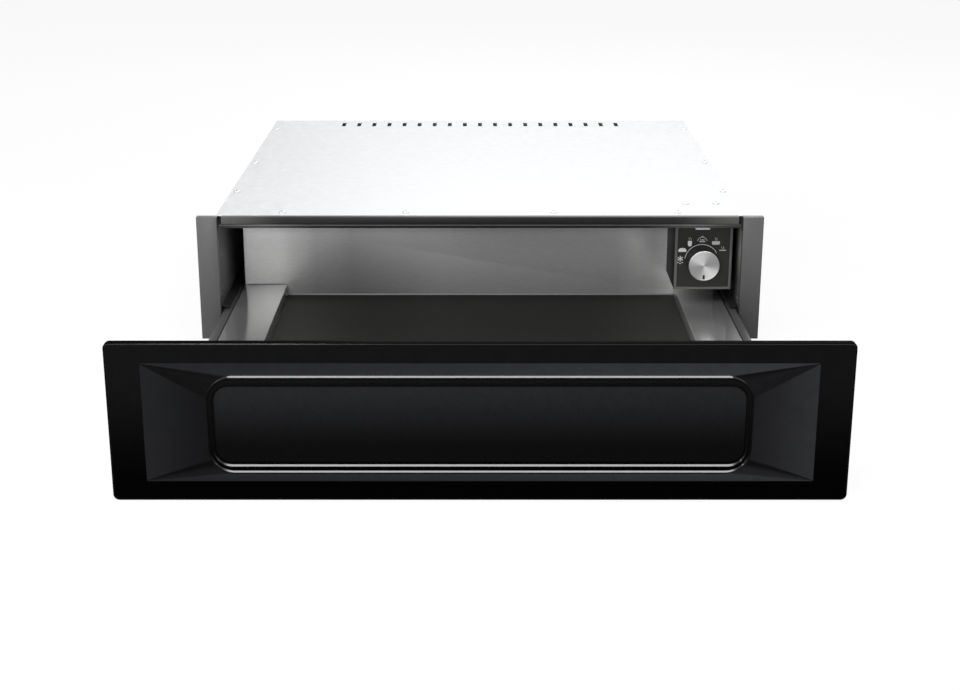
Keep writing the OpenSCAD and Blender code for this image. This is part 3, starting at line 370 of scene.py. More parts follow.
def rings_and_painted_sheen(tree, colour):
    """Painted sheen in light and dark sectors round the knob's axis, and fine rings as turning leaves on a
    cap.
    """
    place = node_of(tree, "TexCoord").outputs["Object"]
    centred = feed(tree, node_of(tree, "Mapping"), vector=place, location=(-DIAL.x, 0, -DIAL.z))
    parts = feed(tree, node_of(tree, "SeparateXYZ"), vector=centred.outputs[0])
    angle = calculate(tree, "ARCTAN2", parts.outputs["Z"], parts.outputs["X"])
    turned = calculate(tree, "ADD", calculate(tree, "MULTIPLY", angle, SHEEN_PAIRS), SHEEN_TURN)
    wave = calculate(tree, "SINE", turned)
    rings = feed(tree, node_of(tree, "TexWave", wave_type="RINGS", rings_direction="Y"),
                 vector=centred.outputs[0], scale=RING_SCALE, distortion=0.6, detail=1.0)
    share = calculate(tree, "ADD", span(tree, wave, -1, 1, *SHEEN_TONES),
                      calculate(tree, "MULTIPLY", rings.outputs[1], RING_TONE))
    return multiply(tree, colour, share)


def slopes(tree, colour):
    """Painted shade and reflection on the enamel's slopes: tones by the way that they face and from left
    to right.
    """
    up = texture_place(tree, "Normal")["Z"]
    x = texture_place(tree)["X"]
    corners = tones(tree, up, SLOPE_TONES, STEEPEST)
    sides = span(tree, calculate(tree, "ABSOLUTE", x), *SIDE_SPAN)
    tone = blend_colours(tree, "MIX", tones(tree, up, SIDE_SHARE, STEEPEST), corners, sides)
    return multiply(tree, colour, multiply(tree, tone, span(tree, x, *SLOPE_SPAN)))


def dull_sides(material, shine):
    """Takes the shine off a finish where it faces sideways or down."""
    tree = material.node_tree
    level = span(tree, texture_place(tree, "Normal")["Z"], SHINE_FROM, SHINE_TO, DULL_SHINE, shine)
    feed(tree, tree.nodes["Principled BSDF"], specular_ior_level=level)


# The finish of each material slot
LOOKS = {
    # painted shade: the enamel darker towards the bottom
    "black_enamel": enamel("black_enamel", (0.004, 0.0041, 0.0042), 0.2, 0.006,
                           fade=(0.01, 0.12, 0.08, 1.0)),
    # painted shade: darker towards the bottom
    "dark_satin": surface("dark_satin", (0.083, 0.083, 0.083), 0.42, specular=0.4, depth=0.08,
                          fade=(0, 0.13, 0.6, 0.9)),
    "black_sheet": surface("black_sheet", (0.045, 0.045, 0.044), 0.45, specular=0.2, depth=0.08),
    "galvanised": surface("galvanised", (0.66, 0.67, 0.68), 0.42, metal=0.8, grain=COARSE, depth=0.02,
                          spread=0.1, rough_spread=0.1),
    "brushed_steel": brushed_metal("brushed_steel", (0.62, 0.62, 0.615), 0.17, 0.85, depth=0.03,
                                   spread=0.05, rough_spread=0.02, brushed=0.4),
    # painted light: the mat lighter towards both sides and darker in the middle
    "floor_mat": tint(surface("floor_mat", (0.015, 0.015, 0.0133), 0.6, specular=0.25, depth=0.3,
                              spread=0.25),
                      along("X", 0.1, 0.215, 0.46, 1.35, both_sides=True)),
    "slide_black": surface("slide_black", (0.015, 0.015, 0.016), 0.4, specular=0.3),
    "bright_steel": surface("bright_steel", (0.62, 0.63, 0.64), 0.24, metal=1, depth=0.03),
    "black_plastic": surface("black_plastic", (0.01, 0.01, 0.01), 0.38, specular=0.35, depth=0.08),
    "fascia_black": surface("fascia_black", (0.014, 0.014, 0.0122), 0.5, specular=0.3, depth=0.1),
    "frame_grey": surface("frame_grey", (0.09, 0.09, 0.088), 0.4, specular=0.4),
    "lens_white": surface("lens_white", (0.8, 0.83, 0.88), 0.25, grain=COARSE, depth=0.01, spread=0.03),
    # the cap's light and dark sectors are painted sheen
    "spun_aluminium": tint(surface("spun_aluminium", (0.54, 0.54, 0.54), 0.34, metal=0.6, depth=0.002,
                                   spread=0.01, rough_spread=0.01, brushed=0.8, grain_axis="Y"),
                           rings_and_painted_sheen),
    "ivory_plastic": surface("ivory_plastic", (0.62, 0.6, 0.52), 0.5),
    "brass": surface("brass", (0.6, 0.45, 0.2), 0.3, metal=1, depth=0.04),
    "heater_tube": surface("heater_tube", (0.2, 0.16, 0.14), 0.5, metal=0.9, grain=COARSE, depth=0.02,
                           spread=0.25),
    "rubber": surface("rubber", (0.012, 0.012, 0.012), 0.75, specular=0.25, depth=0.3),
    "board_green": surface("board_green", (0.03, 0.15, 0.06), 0.35),
    "motor_zinc": surface("motor_zinc", (0.45, 0.46, 0.47), 0.5, metal=0.8, grain=COARSE, depth=0.02,
                          spread=0.12),
}
SLOT_OF = {row["node"]: row["material_slot"] for row in frame["record"]["subparts"]}

# Finishes of single pieces, where they differ from their slot's
# painted shade and reflection on the slopes of the front, by the way they face and along X
ENAMEL_SLOPE = tint(enamel("enamel_slope", (0.0098, 0.0101, 0.0112), 0.3, 0.03), slopes)
# painted shade: the sunk field darker towards the bottom
ENAMEL_FIELD = enamel("enamel_field", (0.0104, 0.0107, 0.0117), 0.28, 0.03, fade=(0.045, 0.105, 0.1, 1.0))
ENAMEL_EDGE = enamel("enamel_edge", (0.003, 0.003, 0.003), 0.12, EDGE_SHINE)
dull_sides(ENAMEL_EDGE, EDGE_SHINE)
ENAMEL_RIM = enamel("enamel_rim", (0.0008, 0.0008, 0.0008), 0.25, 0.002)
# painted reflection: the rail dark in the middle and full tone near both ends
RAIL = tint(surface("rail_satin", (0.07, 0.07, 0.068), 0.4, metal=0.2, specular=0.2, grain=ALONG_X,
                    depth=0.02, spread=0.04, rough_spread=0.02),
            along("X", 0.195, 0.265, 0.2, 1.0, both_sides=True))
# painted reflection: the lip dark in the middle with a light band near each end
LIP = tint(surface("lip_satin", (0.12, 0.12, 0.118), 0.35, metal=0.5, grain=ALONG_X, depth=0.02,
                   spread=0.04, rough_spread=0.02),
           across(LIP_PAINTED_SHEEN, both_sides=True))
# painted shade: the cover nearly black along its front edge behind the rail
COVER_SHEET = tint(surface("cover_sheet", (0.55, 0.56, 0.57), 0.5, metal=0.35, grain=COARSE, depth=0.02,
                           spread=0.1, rough_spread=0.1),
                   along("Y", -0.0678, -0.066, 0.06, 1.0))
# painted light: the right wall much lighter at its front; painted shade: darker lower down
SIDE_SHEET = tint(surface("side_sheet", (0.045, 0.045, 0.044), 0.45, specular=0.2, depth=0.08),
                  along("Y", -0.06, -0.015, 7.0, 1.0), along("Z", 0.05, 0.105, 0.3, 1.0))
# painted light and reflection: the rear wall lighter towards both ends; painted shade: darker towards its
# foot
WALL_STEEL = tint(brushed_metal("wall_steel", (0.93, 0.93, 0.92), 0.38, 0.25, depth=0.05, spread=0.09,
                                rough_spread=0.03, brushed=0.7, fade=(0.02, 0.08, 0.74, 1.0)),
                  across(WALL_PAINTED_LIGHT))
# painted reflection: the left ledge lighter towards the back
LEFT_STEEL = tint(brushed_metal("ledge_steel", (0.72, 0.72, 0.715), 0.17, 0.85, depth=0.006, spread=0.05,
                                rough_spread=0.015, brushed=0.3),
                  along("Y", -0.15, 0.02, 0.8, 1.32))
# painted light and shade: the right ledge lighter at the front and darker towards the back
RIGHT_STEEL = tint(brushed_metal("right_ledge_steel", (0.76, 0.76, 0.755), 0.2, 0.85, depth=0.002,
                                 spread=0.05, rough_spread=0.01, brushed=0.3),
                   along("Y", -0.22, -0.05, 1.28, 0.85))
# painted shade: a copy of the trims' satin, darker towards the bottom than the left trim
RIGHT_SATIN = surface("right_satin", (0.087, 0.087, 0.087), 0.42, specular=0.4, depth=0.08,
                      fade=(0, 0.13, 0.27, 0.88))
BEAD_SATIN = surface("bead_satin", (0.26, 0.26, 0.258), 0.5, metal=0.2)
SLIDE_GREY = surface("slide_grey", (0.06, 0.06, 0.06), 0.42, specular=0.3)
BOX_SIDE = surface("box_black", (0.004, 0.004, 0.0035), 0.5, specular=0.1, depth=0.08)
PRINT = surface("dial_print", (0.5, 0.5, 0.49), 0.55, specular=0.3)
PRINT_WHITE = surface("dial_print_white", (0.72, 0.73, 0.74), 0.55, specular=0.3)


# ---------- pieces ----------

# corners nearer than this are one corner
SAME_SPOT = 0.001 * MM
SHORTEST_ROUNDED = 4 * MM
FLAT_ANGLE = math.radians(0.5)
SHARP_ANGLE = math.radians(40)


def body_of_node(node):
    """The moving or fixed body that a CAD node belongs to."""
    return next(b for b, members in frame["record"]["behaviour"]["bodies"].items() if node in members)


def add_piece(name, bm, body, slot, materials=None, replaced=(), smooth=30):
    """Turns a bmesh into a piece of the object that rides on a body. Edges sharper than smooth,
    in degrees, stay sharp."""
    bmesh.ops.recalc_face_normals(bm, faces=bm.faces)
    mesh = bpy.data.meshes.new(name)
    bm.to_mesh(mesh)
    bm.free()
    for polygon in mesh.polygons:
        polygon.use_smooth = True
    mesh.set_sharp_from_angle(angle=math.radians(smooth))
    for material in materials or [LOOKS[slot]]:
        mesh.materials.append(material)
    piece = bpy.data.objects.new(name, mesh)
    bpy.context.scene.collection.objects.link(piece)
    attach(piece, body)
    if replaced:
        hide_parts(*replaced)


def rounded_copy(node, width, steps=2, material=None, smooth=30):
    """Stands for a CAD node with the same shape, but with its long straight edges rounded."""
    bm = bmesh.new()
    bm.from_mesh(frame["nodes"][node].data)
    bmesh.ops.remove_doubles(bm, verts=bm.verts, dist=SAME_SPOT)
    bmesh.ops.dissolve_limit(bm, angle_limit=FLAT_ANGLE, verts=bm.verts, edges=bm.edges)
    sharp = [e for e in bm.edges
             if len(e.link_faces) == 2 and e.calc_length() > SHORTEST_ROUNDED
             and e.calc_face_angle(0) > SHARP_ANGLE]
    bmesh.ops.bevel(bm, geom=sharp, offset=width, segments=steps, profile=0.5, affect="EDGES",
                    clamp_overlap=True)
    slot = SLOT_OF[node]
    add_piece(node + "_shell", bm, body_of_node(node), slot, [material or LOOKS[slot]], (node,), smooth)


def dress_cad_nodes():
    """Gives every carried-over CAD node the finish of its slot."""
    for node, piece in frame["nodes"].items():
        piece.data.materials.clear()
        piece.data.materials.append(LOOKS[SLOT_OF[node]])


def band(bm, first, second, index=0):
    """Joins two closed rows of corners with a strip of faces."""
    for i in range(len(first)):
        j = (i + 1) % len(first)
        face = bm.faces.new((first[i], first[j], second[j], second[i]))
        face.material_index = index


def lathe(bm, profile, centre, axis=1, segments=96, outlines=None, closed=True):
    """Turns (radius, place along the axis) pairs round an axis through centre, and fills both ends
    if closed. outlines may give a radius for each pair and angle instead."""
    rows = []
    first_side, second_side = [(1, 2), (2, 0), (0, 1)][axis]
    for index, (radius, place) in enumerate(profile):
        row = []
        for i in range(segments):
            a = 2 * math.pi * i / segments
            r = outlines[index](radius, a) if outlines and index in outlines else radius
            spot = [0, 0, 0]
            spot[axis] = place
            spot[first_side] = centre[first_side] + r * math.cos(a)
            spot[second_side] = centre[second_side] + r * math.sin(a)
            row.append(bm.verts.new(spot))
        rows.append(row)
    for first, second in zip(rows, rows[1:]):
        band(bm, first, second)
    if closed:
        bm.faces.new(rows[0])
        bm.faces.new(rows[-1])


def rounded_box(bm, low, high, radius):
    """Adds a block between two corners, with its edges rounded."""
    made = bmesh.ops.create_cube(bm, size=1)["verts"]
    for vert in made:
        vert.co = Vector((low[k] + (vert.co[k] + 0.5) * (high[k] - low[k]) for k in range(3)))
    edges = list(dict.fromkeys(edge for vert in made for edge in vert.link_edges))
    bmesh.ops.bevel(bm, geom=edges, offset=radius, segments=2, profile=0.5, affect="EDGES")


# ---------- pressed front ----------

# how far the slopes' foot and the ring's outer edge are inside the panel's edges, along X and Z
BORDER = (28.5 * MM, 17 * MM)
RING = (80.8 * MM, 25.85 * MM)
RING_LIFT = 0.45 * MM
RING_R = 21.5 * MM
RING_W = 7.9 * MM
# the ring's upright parts are this share as wide as its level ones
RING_SIDE = 0.6
RING_SINK = 1.15 * MM
RISE = 6 * MM
RING_RISE = 1.35 * MM
FIELD_DROP = 3 * MM
SKIN = 1.5 * MM
CORNER_R = 5 * MM
RIM_DEPTH = 6 * MM
CARRIER_DEPTH = 14 * MM
ARC_STEPS = 16
FACE = panel_low.y + RISE + RING_RISE
# the tubes behind the panel that its screws go into, and the radius of the screws' heads
TUBE_R = 4 * MM
TUBE_HOLE_R = 1.6 * MM
TUBE_FLOOR = 3 * MM
SCREW_HEAD_R = 3.1 * MM


def outline(inset_x, inset_z, radius, y, lift=0.0):
    """Rounded rectangle inside the panel's own outline, at depth y, as a closed list of points."""
    half = panel_high.x - inset_x
    low, high = panel_low.z + inset_z + lift, panel_high.z - inset_z + lift
    radius = max(radius, 0)
    corners = [(half - radius, high - radius, 0), (-half + radius, high - radius, 90),
               (-half + radius, low + radius, 180), (half - radius, low + radius, 270)]
    points = []
    for x, z, start in corners:
        for step in range(ARC_STEPS + 1):
            angle = math.radians(start + 90 * step / ARC_STEPS)
            points.append((x + radius * math.cos(angle), y, z + radius * math.sin(angle)))
    return points


def rise_at(x, z):
    """How far the slopes stand out at a point: flat sides, with a cone round each corner."""
    u = panel_high.x - BORDER[0] - abs(x)
    above = z > (panel_low.z + panel_high.z) / 2
    v = (panel_high.z - z if above else z - panel_low.z) - BORDER[1]
    run_u, run_v = RING[0] - BORDER[0], RING[1] - BORDER[1] + (-RING_LIFT if above else RING_LIFT)
    centre_u, centre_v = run_u + RING_R, run_v + RING_R
    if v * centre_u <= run_v * u:
        return RISE * min(1, v / run_v)
    if v * run_u >= centre_v * u:
        return RISE * min(1, u / run_u)
    a = u * u + v * v
    b = u * centre_u + v * centre_v
    c = centre_u ** 2 + centre_v ** 2 - RING_R ** 2
    reach = (b - math.sqrt(max(0, b * b - a * c))) / a
    return RISE * min(1, 1 / reach)


def round_ring(out):
    """Outline a distance outside the ring, on the slopes."""
    flat = outline(RING[0] - out, RING[1] - out, RING_R + out, 0, RING_LIFT)
    return [(x, FACE - rise_at(x, z), z) for x, _, z in flat]


def past_ring(inset, depth):
    """Outline a distance inside the ring's outer edge, and a depth below its top."""
    top = FACE - RISE - RING_RISE
    return outline(RING[0] + inset * RING_SIDE, RING[1] + inset, RING_R - inset, top + depth, RING_LIFT)


def bridge(bm, loops, indexes, last):
    """Joins each outline to the next, and fills the last one; the indexes are those of materials."""
    rows = [[bm.verts.new(p) for p in loop] for loop in loops]
    for (first, second), index in zip(zip(rows, rows[1:]), indexes):
        band(bm, first, second, index)
    cap = bm.faces.new(rows[-1])
    cap.material_index = last


def screw_tubes(bm):
    """Tubes for the panel's screws: four in the border's corners and one in the upper middle."""
    screw_low, screw_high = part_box("panel_screws")
    out = (screw_high.x - screw_low.x) / 2 - SCREW_HEAD_R
    low, high = screw_low.z + SCREW_HEAD_R, screw_high.z - SCREW_HEAD_R
    end = FACE + RIM_DEPTH + CARRIER_DEPTH - 1 * MM
    for x, z in ((-out, low), (out, low), (-out, high), (out, high), (0, high)):
        start = FACE + SKIN - 0.2 * MM if x else FACE - 1 * MM
        tube = [(TUBE_HOLE_R, start + TUBE_FLOOR), (TUBE_HOLE_R, end), (TUBE_R, end), (TUBE_R, start)]
        lathe(bm, tube, Vector((x, 0, z)), segments=24)


def make_front():
    """The enamelled front: rolled rim, flat border, slopes, a ring with a bead round it, and a sunk
    field. Each outline goes with the finish of the faces between it and the next."""
    border, slope, edge, field, rim = range(5)
    back = FACE + RIM_DEPTH
    foot_x, foot_z = BORDER
    front = [
        (outline(0, 0, CORNER_R, back), rim),
        (outline(0, 0, CORNER_R, FACE + 1.2 * MM), rim),
        (outline(0.1 * MM, 0.1 * MM, CORNER_R, FACE + 0.7 * MM), rim),
        (outline(0.4 * MM, 0.4 * MM, CORNER_R - 0.4 * MM, FACE + 0.45 * MM), rim),
        (outline(0.8 * MM, 0.8 * MM, CORNER_R - 0.8 * MM, FACE + 0.31 * MM), edge),
        (outline(1.5 * MM, 1.5 * MM, CORNER_R - 1.5 * MM, FACE), border),
        (outline(foot_x - 0.5 * MM, foot_z - 0.5 * MM, 1.5 * MM, FACE), border),
        (outline(foot_x, foot_z, 1 * MM, FACE - 0.05 * MM), slope),
        (outline(foot_x + 0.6 * MM, foot_z + 0.5 * MM, 0.6 * MM, FACE - 0.28 * MM), slope),
        (round_ring(0.5 * MM), slope),
        (past_ring(0, RING_RISE - 0.1 * MM), edge),
        (past_ring(1.2 * MM, 0.05 * MM), border),
        (past_ring(1.35 * MM, 0), border),
        (past_ring(1.5 * MM, 0.05 * MM), edge),
        (past_ring(2.6 * MM, RING_SINK), border),
        (past_ring(RING_W - 1.6 * MM, RING_SINK), edge),
        (past_ring(RING_W - 0.35 * MM, RING_SINK + 1.25 * MM), border),
        (past_ring(RING_W + 0.7 * MM, FIELD_DROP), border),
        (past_ring(RING_W + 1.1 * MM, FIELD_DROP), rim),
        (past_ring(RING_W + 1.4 * MM, FIELD_DROP + 0.25 * MM), rim),
        (past_ring(RING_W + 1.8 * MM, FIELD_DROP), field),
    ]
    bm = bmesh.new()
    bridge(bm, [loop for loop, _ in front], [index for _, index in front][:-1], field)
    sunk = FACE - RISE - RING_RISE + FIELD_DROP + SKIN
    inner = [
        outline(0, 0, CORNER_R, back),
        outline(SKIN, SKIN, CORNER_R - SKIN, back),
        outline(SKIN, SKIN, CORNER_R - SKIN, FACE + SKIN),
        outline(foot_x + SKIN, foot_z + SKIN, 1 * MM, FACE + SKIN),
        outline(RING[0] - 3 * MM, RING[1] - 3 * MM, RING_R, sunk, RING_LIFT),
    ]
    bridge(bm, inner, [rim] * 4, rim)
    bmesh.ops.remove_doubles(bm, verts=bm.verts, dist=SAME_SPOT)
    screw_tubes(bm)
    materials = [LOOKS["black_enamel"], ENAMEL_SLOPE, ENAMEL_EDGE, ENAMEL_FIELD, ENAMEL_RIM]
    add_piece("enamelled_front", bm, "drawer", "black_enamel", materials, ("front_panel",), smooth=15)


# ---------- dial marks ----------

fascia_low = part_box("control_fascia")[0]
PRINT_DEPTH = 0.06 * MM
ARC_R = 17.6
ARC_FROM, ARC_TO = 28, 172


def print_shape(bm, points, place=(0, 0)):
    """Adds a flat printed shape to the fascia; points are in millimetres from the dial's centre."""
    front = fascia_low.y - PRINT_DEPTH
    ground = fascia_low.y + PRINT_DEPTH
    spots = [(DIAL.x + (x + place[0]) * MM, DIAL.z + (z + place[1]) * MM) for x, z in points]
    near = [bm.verts.new((x, front, z)) for x, z in spots]
    far = [bm.verts.new((x, ground, z)) for x, z in spots]
    bm.faces.new(near)
    band(bm, near, far)


def stroke(bm, points, width, place=(0, 0)):
    """A printed line of even width along the points."""
    left, right = [], []
    for i, (x, z) in enumerate(points):
        x0, z0 = points[max(i - 1, 0)]
        x1, z1 = points[min(i + 1, len(points) - 1)]
        length = math.hypot(x1 - x0, z1 - z0)
        nx, nz = -(z1 - z0) / length * width / 2, (x1 - x0) / length * width / 2
        left.append((x + nx, z + nz))
        right.append((x - nx, z - nz))
    print_shape(bm, left + right[::-1], place)


def arc(radius, start, end, steps, centre=(0, 0)):
    """Points along an arc between two angles in degrees."""
    angles = [math.radians(start + (end - start) * i / steps) for i in range(steps + 1)]
    return [(centre[0] + radius * math.cos(a), centre[1] + radius * math.sin(a)) for a in angles]


def dot(bm, radius, centre, place):
    """A round mark, with its centre measured from a symbol's place."""
    print_shape(bm, arc(radius, 0, 330, 11, centre), place)


def steam(bm, z, height, place):
    """Two wavy strokes of steam above a symbol."""
    for x in (-0.9, 0.9):
        wave = [(x + 0.35 * math.sin(2 * math.pi * t / 8), z + height * t / 8) for t in range(9)]
        stroke(bm, wave, 0.35, place)


def make_marks():
    """The arc round the knob, and a symbol at each of its settings; sizes are in millimetres."""
    bm, white = bmesh.new(), bmesh.new()
    stroke(white, arc(ARC_R, ARC_FROM, ARC_TO, 48), 0.55)
    frost = (-22.4, 2.1)
    for turn in range(6):
        a = math.radians(30 + 60 * turn)
        x, z = math.cos(a), math.sin(a)
        stroke(white, [(0, 0), (2.4 * x, 2.4 * z)], 0.6, frost)
        dot(white, 0.6, (2.5 * x, 2.5 * z), frost)
    for centre in ((-2.2, -4.1), (0, -5.2), (2.2, -4.1)):
        dot(white, 0.55, centre, frost)
    roll = (-20.4, 11.4)
    loaf = [(-4.3, -0.9), (-3.8, -1.8), (3.8, -1.8), (4.3, -0.9), (3.9, 0.9), (2.6, 2.1), (0, 2.5),
            (-2.6, 2.1), (-3.9, 0.9)]
    print_shape(white, loaf, roll)
    cup = (-12.9, 18.8)
    print_shape(white, [(-2.1, 2.6), (-2.1, -1.2)] + arc(2.1, 180, 360, 12, (0, -1.2)) + [(2.1, 2.6)], cup)
    steam(bm, 3.3, 3.2, cup)
    cloche = (0, 20.6)
    stroke(bm, arc(5.0, 10, 170, 20), 0.6, cloche)
    print_shape(bm, [(-3.2, -0.4), (3.2, -0.4), (3.2, 0.5), (-3.2, 0.5)], cloche)
    dot(bm, 0.8, (0, 5.7), cloche)
    for x in (-1.6, 0, 1.6):
        dot(bm, 0.7, (x, 1.9), cloche)
    pot = (14.4, 19.3)
    print_shape(bm, [(-4.1, 1.8), (-4.1, -0.6)] + arc(1.3, 180, 270, 6, (-2.8, -0.6))
                + arc(1.3, 270, 360, 6, (2.8, -0.6)) + [(4.1, 1.8)], pot)
    steam(bm, 2.5, 3.2, pot)
    plate = (21.8, 11.4)
    print_shape(bm, [(-3.4, -0.5), (3.4, -0.5), (3.4, 0.4), (-3.4, 0.4)], plate)
    steam(bm, 1.2, 2.6, plate)
    add_piece("dial_marks", bm, "casing", "lens_white", [PRINT])
    add_piece("dial_white_marks", white, "casing", "lens_white", [PRINT_WHITE])


# ---------- knob, screws, indicator and the foot of the rear wall ----------

KNOB_WALL = 3.6 * MM
KNOB_FRONT_WALL = 3 * MM
KNOB_BORE_R = 3 * MM
KNOB_HUB_R = 6 * MM
CAP_MIDDLE_R = 0.4 * MM
POINTER_HALF = 1.15 * MM
# how far the pointer's ends are inside the knob's edge
POINTER_ENDS = (1.7 * MM, 6.3 * MM)
LENS_BORDER = 1.2 * MM
WINDOW_HEIGHT = 2.2 * MM
FILLET_R = 1.3 * MM


def make_knob():
    """Hollow black body with a soft edge, and a turned aluminium cap with a fine step and a pointer."""
    cap_low, cap_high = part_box("knob_cap")
    radius = (knob_high.x - knob_low.x) / 2
    front, back = knob_low.y, knob_high.y
    inside = radius - KNOB_WALL
    floor = front + KNOB_FRONT_WALL
    bm = bmesh.new()
    body = [(inside, floor), (inside, back), (radius - 0.3 * MM, back),
            (radius, back - 0.3 * MM), (radius, front + 0.5 * MM), (radius - 0.15 * MM, front + 0.15 * MM),
            (radius - 0.5 * MM, front), (KNOB_BORE_R, front), (KNOB_BORE_R, back),
            (KNOB_HUB_R, back - 3 * MM), (KNOB_HUB_R, floor), (inside, floor)]
    lathe(bm, body, DIAL, closed=False)
    bmesh.ops.remove_doubles(bm, verts=bm.verts, dist=SAME_SPOT)
    add_piece("knob_grip", bm, "knob", "black_plastic", replaced=("knob_skirt",))
    face = cap_low.y
    side = radius - 0.05 * MM
    bm = bmesh.new()
    cap = [(CAP_MIDDLE_R, cap_high.y), (radius - 0.6 * MM, cap_high.y), (side, cap_high.y),
           (side, face + 0.55 * MM), (radius - 0.2 * MM, face + 0.25 * MM),
           (radius - 0.6 * MM, face), (radius - 1.1 * MM, face), (radius - 1.25 * MM, face + 0.12 * MM),
           (radius - 1.5 * MM, face + 0.12 * MM), (6 * MM, face + 0.22 * MM),
           (CAP_MIDDLE_R, face + 0.3 * MM)]
    lathe(bm, cap, DIAL)
    add_piece("knob_face", bm, "knob", "spun_aluminium", replaced=("knob_cap",))
    edge = DIAL.z - radius
    low = Vector((DIAL.x - POINTER_HALF, face + 0.02 * MM, edge + POINTER_ENDS[0]))
    high = Vector((DIAL.x + POINTER_HALF, face + 0.6 * MM, edge + POINTER_ENDS[1]))
    bm = bmesh.new()
    rounded_box(bm, low, high, 0.2 * MM)
    add_piece("knob_pointer", bm, "knob", "black_plastic")


def hexagon(radius, angle):
    """Distance from the middle of a hexagon to its side, at an angle."""
    turn = (angle % (math.pi / 3)) - math.pi / 6
    return radius * math.cos(math.pi / 6) / math.cos(turn)


def loose_parts(mesh):
    """The corners of each separate solid in a mesh, in the same order each run."""
    bm = bmesh.new()
    bm.from_mesh(mesh)
    bmesh.ops.remove_doubles(bm, verts=bm.verts, dist=SAME_SPOT)
    left = dict.fromkeys(bm.verts)
    parts = []
    while left:
        queue = [left.popitem()[0]]
        part = []
        while queue:
            vert = queue.pop()
            part.append(vert.co.copy())
            for edge in vert.link_edges:
                other = edge.other_vert(vert)
                if other in left:
                    del left[other]
                    queue.append(other)
        parts.append(part)
    bm.free()
    return parts


def make_screws(node):
    """Pan-head screws with a hexagon socket, where a node has plain ones. The head is on the side
    where the plain screw is wide; its shape is given in shares of its radius and height."""
    bm = bmesh.new()
    for part in loose_parts(frame["nodes"][node].data):
        low = Vector([min(v[k] for v in part) for k in range(3)])
        high = Vector([max(v[k] for v in part) for k in range(3)])
        size = high - low
        axis = max(range(3), key=lambda k: min(abs(size[k] - size[m]) for m in range(3) if m != k))
        middle = (low + high) / 2
        sides = [k for k in range(3) if k != axis]
        head_r = size[sides[0]] / 2
        wide = [v[axis] for v in part
                if math.hypot(*(v[k] - middle[k] for k in sides)) > 0.9 * head_r]
        out = 1 if sum(wide) / len(wide) > middle[axis] else -1
        top = high[axis] if out > 0 else low[axis]
        tip = low[axis] if out > 0 else high[axis]
        drop = out * (max(wide) - min(wide))
        shank_r = head_r / 2
        shank = [(shank_r * 0.5, tip), (shank_r, tip + out * shank_r * 0.4), (shank_r, top - drop)]
        head = [(head_r * share, top - drop * depth) for share, depth in
                ((1, 1), (1, 0.55), (0.93, 0.25), (0.75, 0.06), (0.6, 0), (0.5, 0), (0.5, 0.6))]
        profile = shank + head
        socket = {len(profile) - 2: hexagon, len(profile) - 1: hexagon}
        lathe(bm, profile, middle, axis, 24, socket)
    add_piece(node + "_heads", bm, body_of_node(node), SLOT_OF[node], replaced=(node,))


def make_lens():
    """White window of the indicator in a dark surround that widens towards the top."""
    low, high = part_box("indicator_lens")
    half = (high.x - low.x) / 2 - LENS_BORDER
    bottom = low.z + LENS_BORDER
    top = bottom + WINDOW_HEIGHT
    bm = bmesh.new()
    rounded_box(bm, Vector((DIAL.x - half, low.y, bottom)), Vector((DIAL.x + half, high.y, top)), 0.5 * MM)
    add_piece("indicator_window", bm, "casing", "lens_white", replaced=("indicator_lens",))
    bm = bmesh.new()
    near, far = fascia_low.y - 0.25 * MM, fascia_low.y + 0.2 * MM
    outer = [(half + 1.6 * MM, top + 0.15 * MM), (-half - 1.6 * MM, top + 0.15 * MM),
             (-half - 0.6 * MM, bottom - 0.9 * MM), (half + 0.6 * MM, bottom - 0.9 * MM)]
    inner = [(half + 0.1 * MM, top + 0.05 * MM), (-half - 0.1 * MM, top + 0.05 * MM),
             (-half - 0.1 * MM, bottom - 0.1 * MM), (half + 0.1 * MM, bottom - 0.1 * MM)]
    loops = [[bm.verts.new((DIAL.x + x, y, z)) for x, z in ring]
             for ring, y in ((outer, far), (outer, near), (inner, near), (inner, far))]
    for first, second in zip(loops, loops[1:] + loops[:1]):
        band(bm, first, second)
    add_piece("indicator_surround", bm, "casing", "black_plastic")


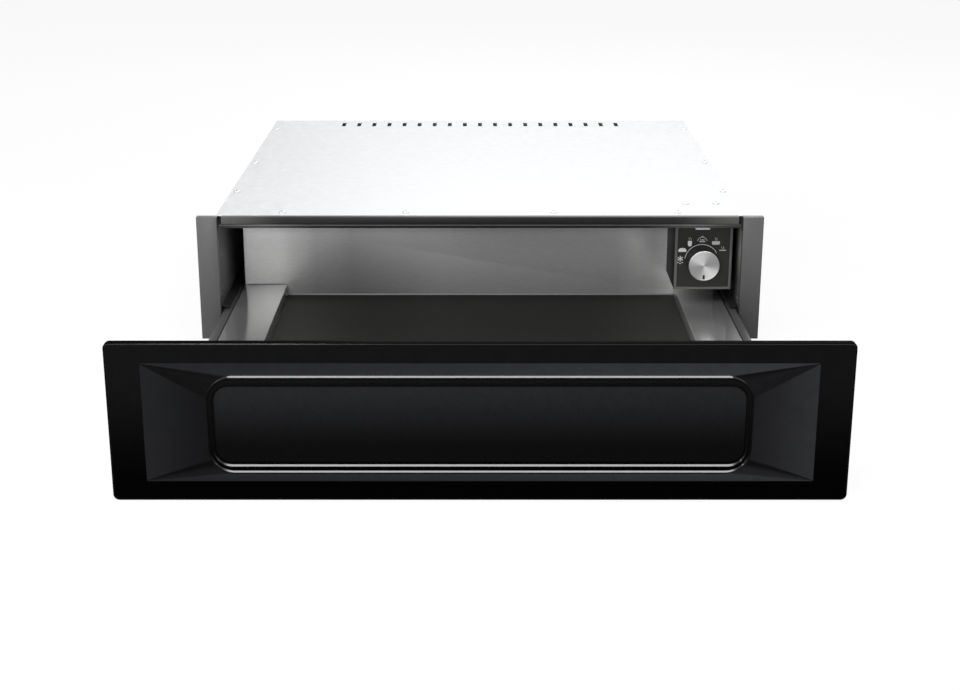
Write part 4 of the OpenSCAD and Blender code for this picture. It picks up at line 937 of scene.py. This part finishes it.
def make_wall_foot():
    """Hollow fillet along the rear wall's foot, and a thin dark strip between each ledge and the wall, a
    painted shadow in the gap.
    """
    mat_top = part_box("floor_mat")[1].z
    ledge_low, ledge_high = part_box("left_ledge_cover")
    wall = ledge_high.y
    half = -ledge_high.x - 0.2 * MM
    angles = [math.radians(90 * step / 6) for step in range(7)]
    hollow = [(wall - FILLET_R * (1 - math.sin(a)), mat_top + FILLET_R * (1 - math.cos(a)))
              for a in angles]
    under, behind = mat_top - 0.3 * MM, wall + 0.1 * MM
    ring = hollow + [(behind, mat_top + FILLET_R), (behind, under), (wall - FILLET_R, under)]
    bm = bmesh.new()
    ends = [[bm.verts.new((x, y, z)) for y, z in ring] for x in (-half, half)]
    band(bm, *ends)
    for end in ends:
        bm.faces.new(end)
    add_piece("rear_wall_bead", bm, "drawer", "brushed_steel", [BEAD_SATIN])
    # painted shadow: dark strips where each ledge meets the wall
    bm = bmesh.new()
    for side in (-1, 1):
        near, far = sorted((side * -ledge_high.x, side * -ledge_low.x))
        rounded_box(bm, Vector((near + 0.6 * MM, wall - 0.8 * MM, ledge_high.z - 0.3 * MM)),
                    Vector((far - 0.6 * MM, wall + 0.1 * MM, ledge_high.z + 0.12 * MM)), 0.1 * MM)
    add_piece("ledge_seams", bm, "drawer", "rubber")


# ---------- the whole object ----------

bpy.context.scene.view_settings.view_transform = "Standard"
make_camera()
make_world()
make_floor()
make_lights()
dress_cad_nodes()
make_front()
make_marks()
make_knob()
make_lens()
for name in ("casing_screws", "slide_screws", "panel_screws", "tray_screws"):
    make_screws(name)
rounded_copy("front_rail", 0.15 * MM, material=RAIL)
rounded_copy("rail_lip", 0.2 * MM, material=LIP)
rounded_copy("control_box", 0.25 * MM, material=BOX_SIDE)
rounded_copy("left_trim", 0.35 * MM)
rounded_copy("right_trim", 0.35 * MM, material=RIGHT_SATIN)
for name in ("left_slide_inner", "right_slide_inner", "left_slide_middle", "right_slide_middle"):
    rounded_copy(name, 0.15 * MM, material=SLIDE_GREY)
make_wall_foot()
rounded_copy("left_ledge_cover", 0.5 * MM, steps=3, material=LEFT_STEEL)
rounded_copy("right_ledge_cover", 0.5 * MM, steps=3, material=RIGHT_STEEL)
rounded_copy("tray_rear_wall", 0.3 * MM, material=WALL_STEEL)
for name in ("tray_front_wall", "tray_base"):
    rounded_copy(name, 0.3 * MM)
rounded_copy("right_side_wall", 0.25 * MM, material=SIDE_SHEET)
rounded_copy("top_cover", 0.25 * MM, steps=1, material=COVER_SHEET, smooth=0.5)
for name in ("rear_panel", "base_pan", "rear_bulkhead"):
    rounded_copy(name, 0.25 * MM, steps=1, smooth=0.5)
for name in ("left_side_wall", "panel_carrier", "fascia_frame"):
    rounded_copy(name, 0.25 * MM)
rounded_copy("floor_mat", 0.8 * MM, steps=3)
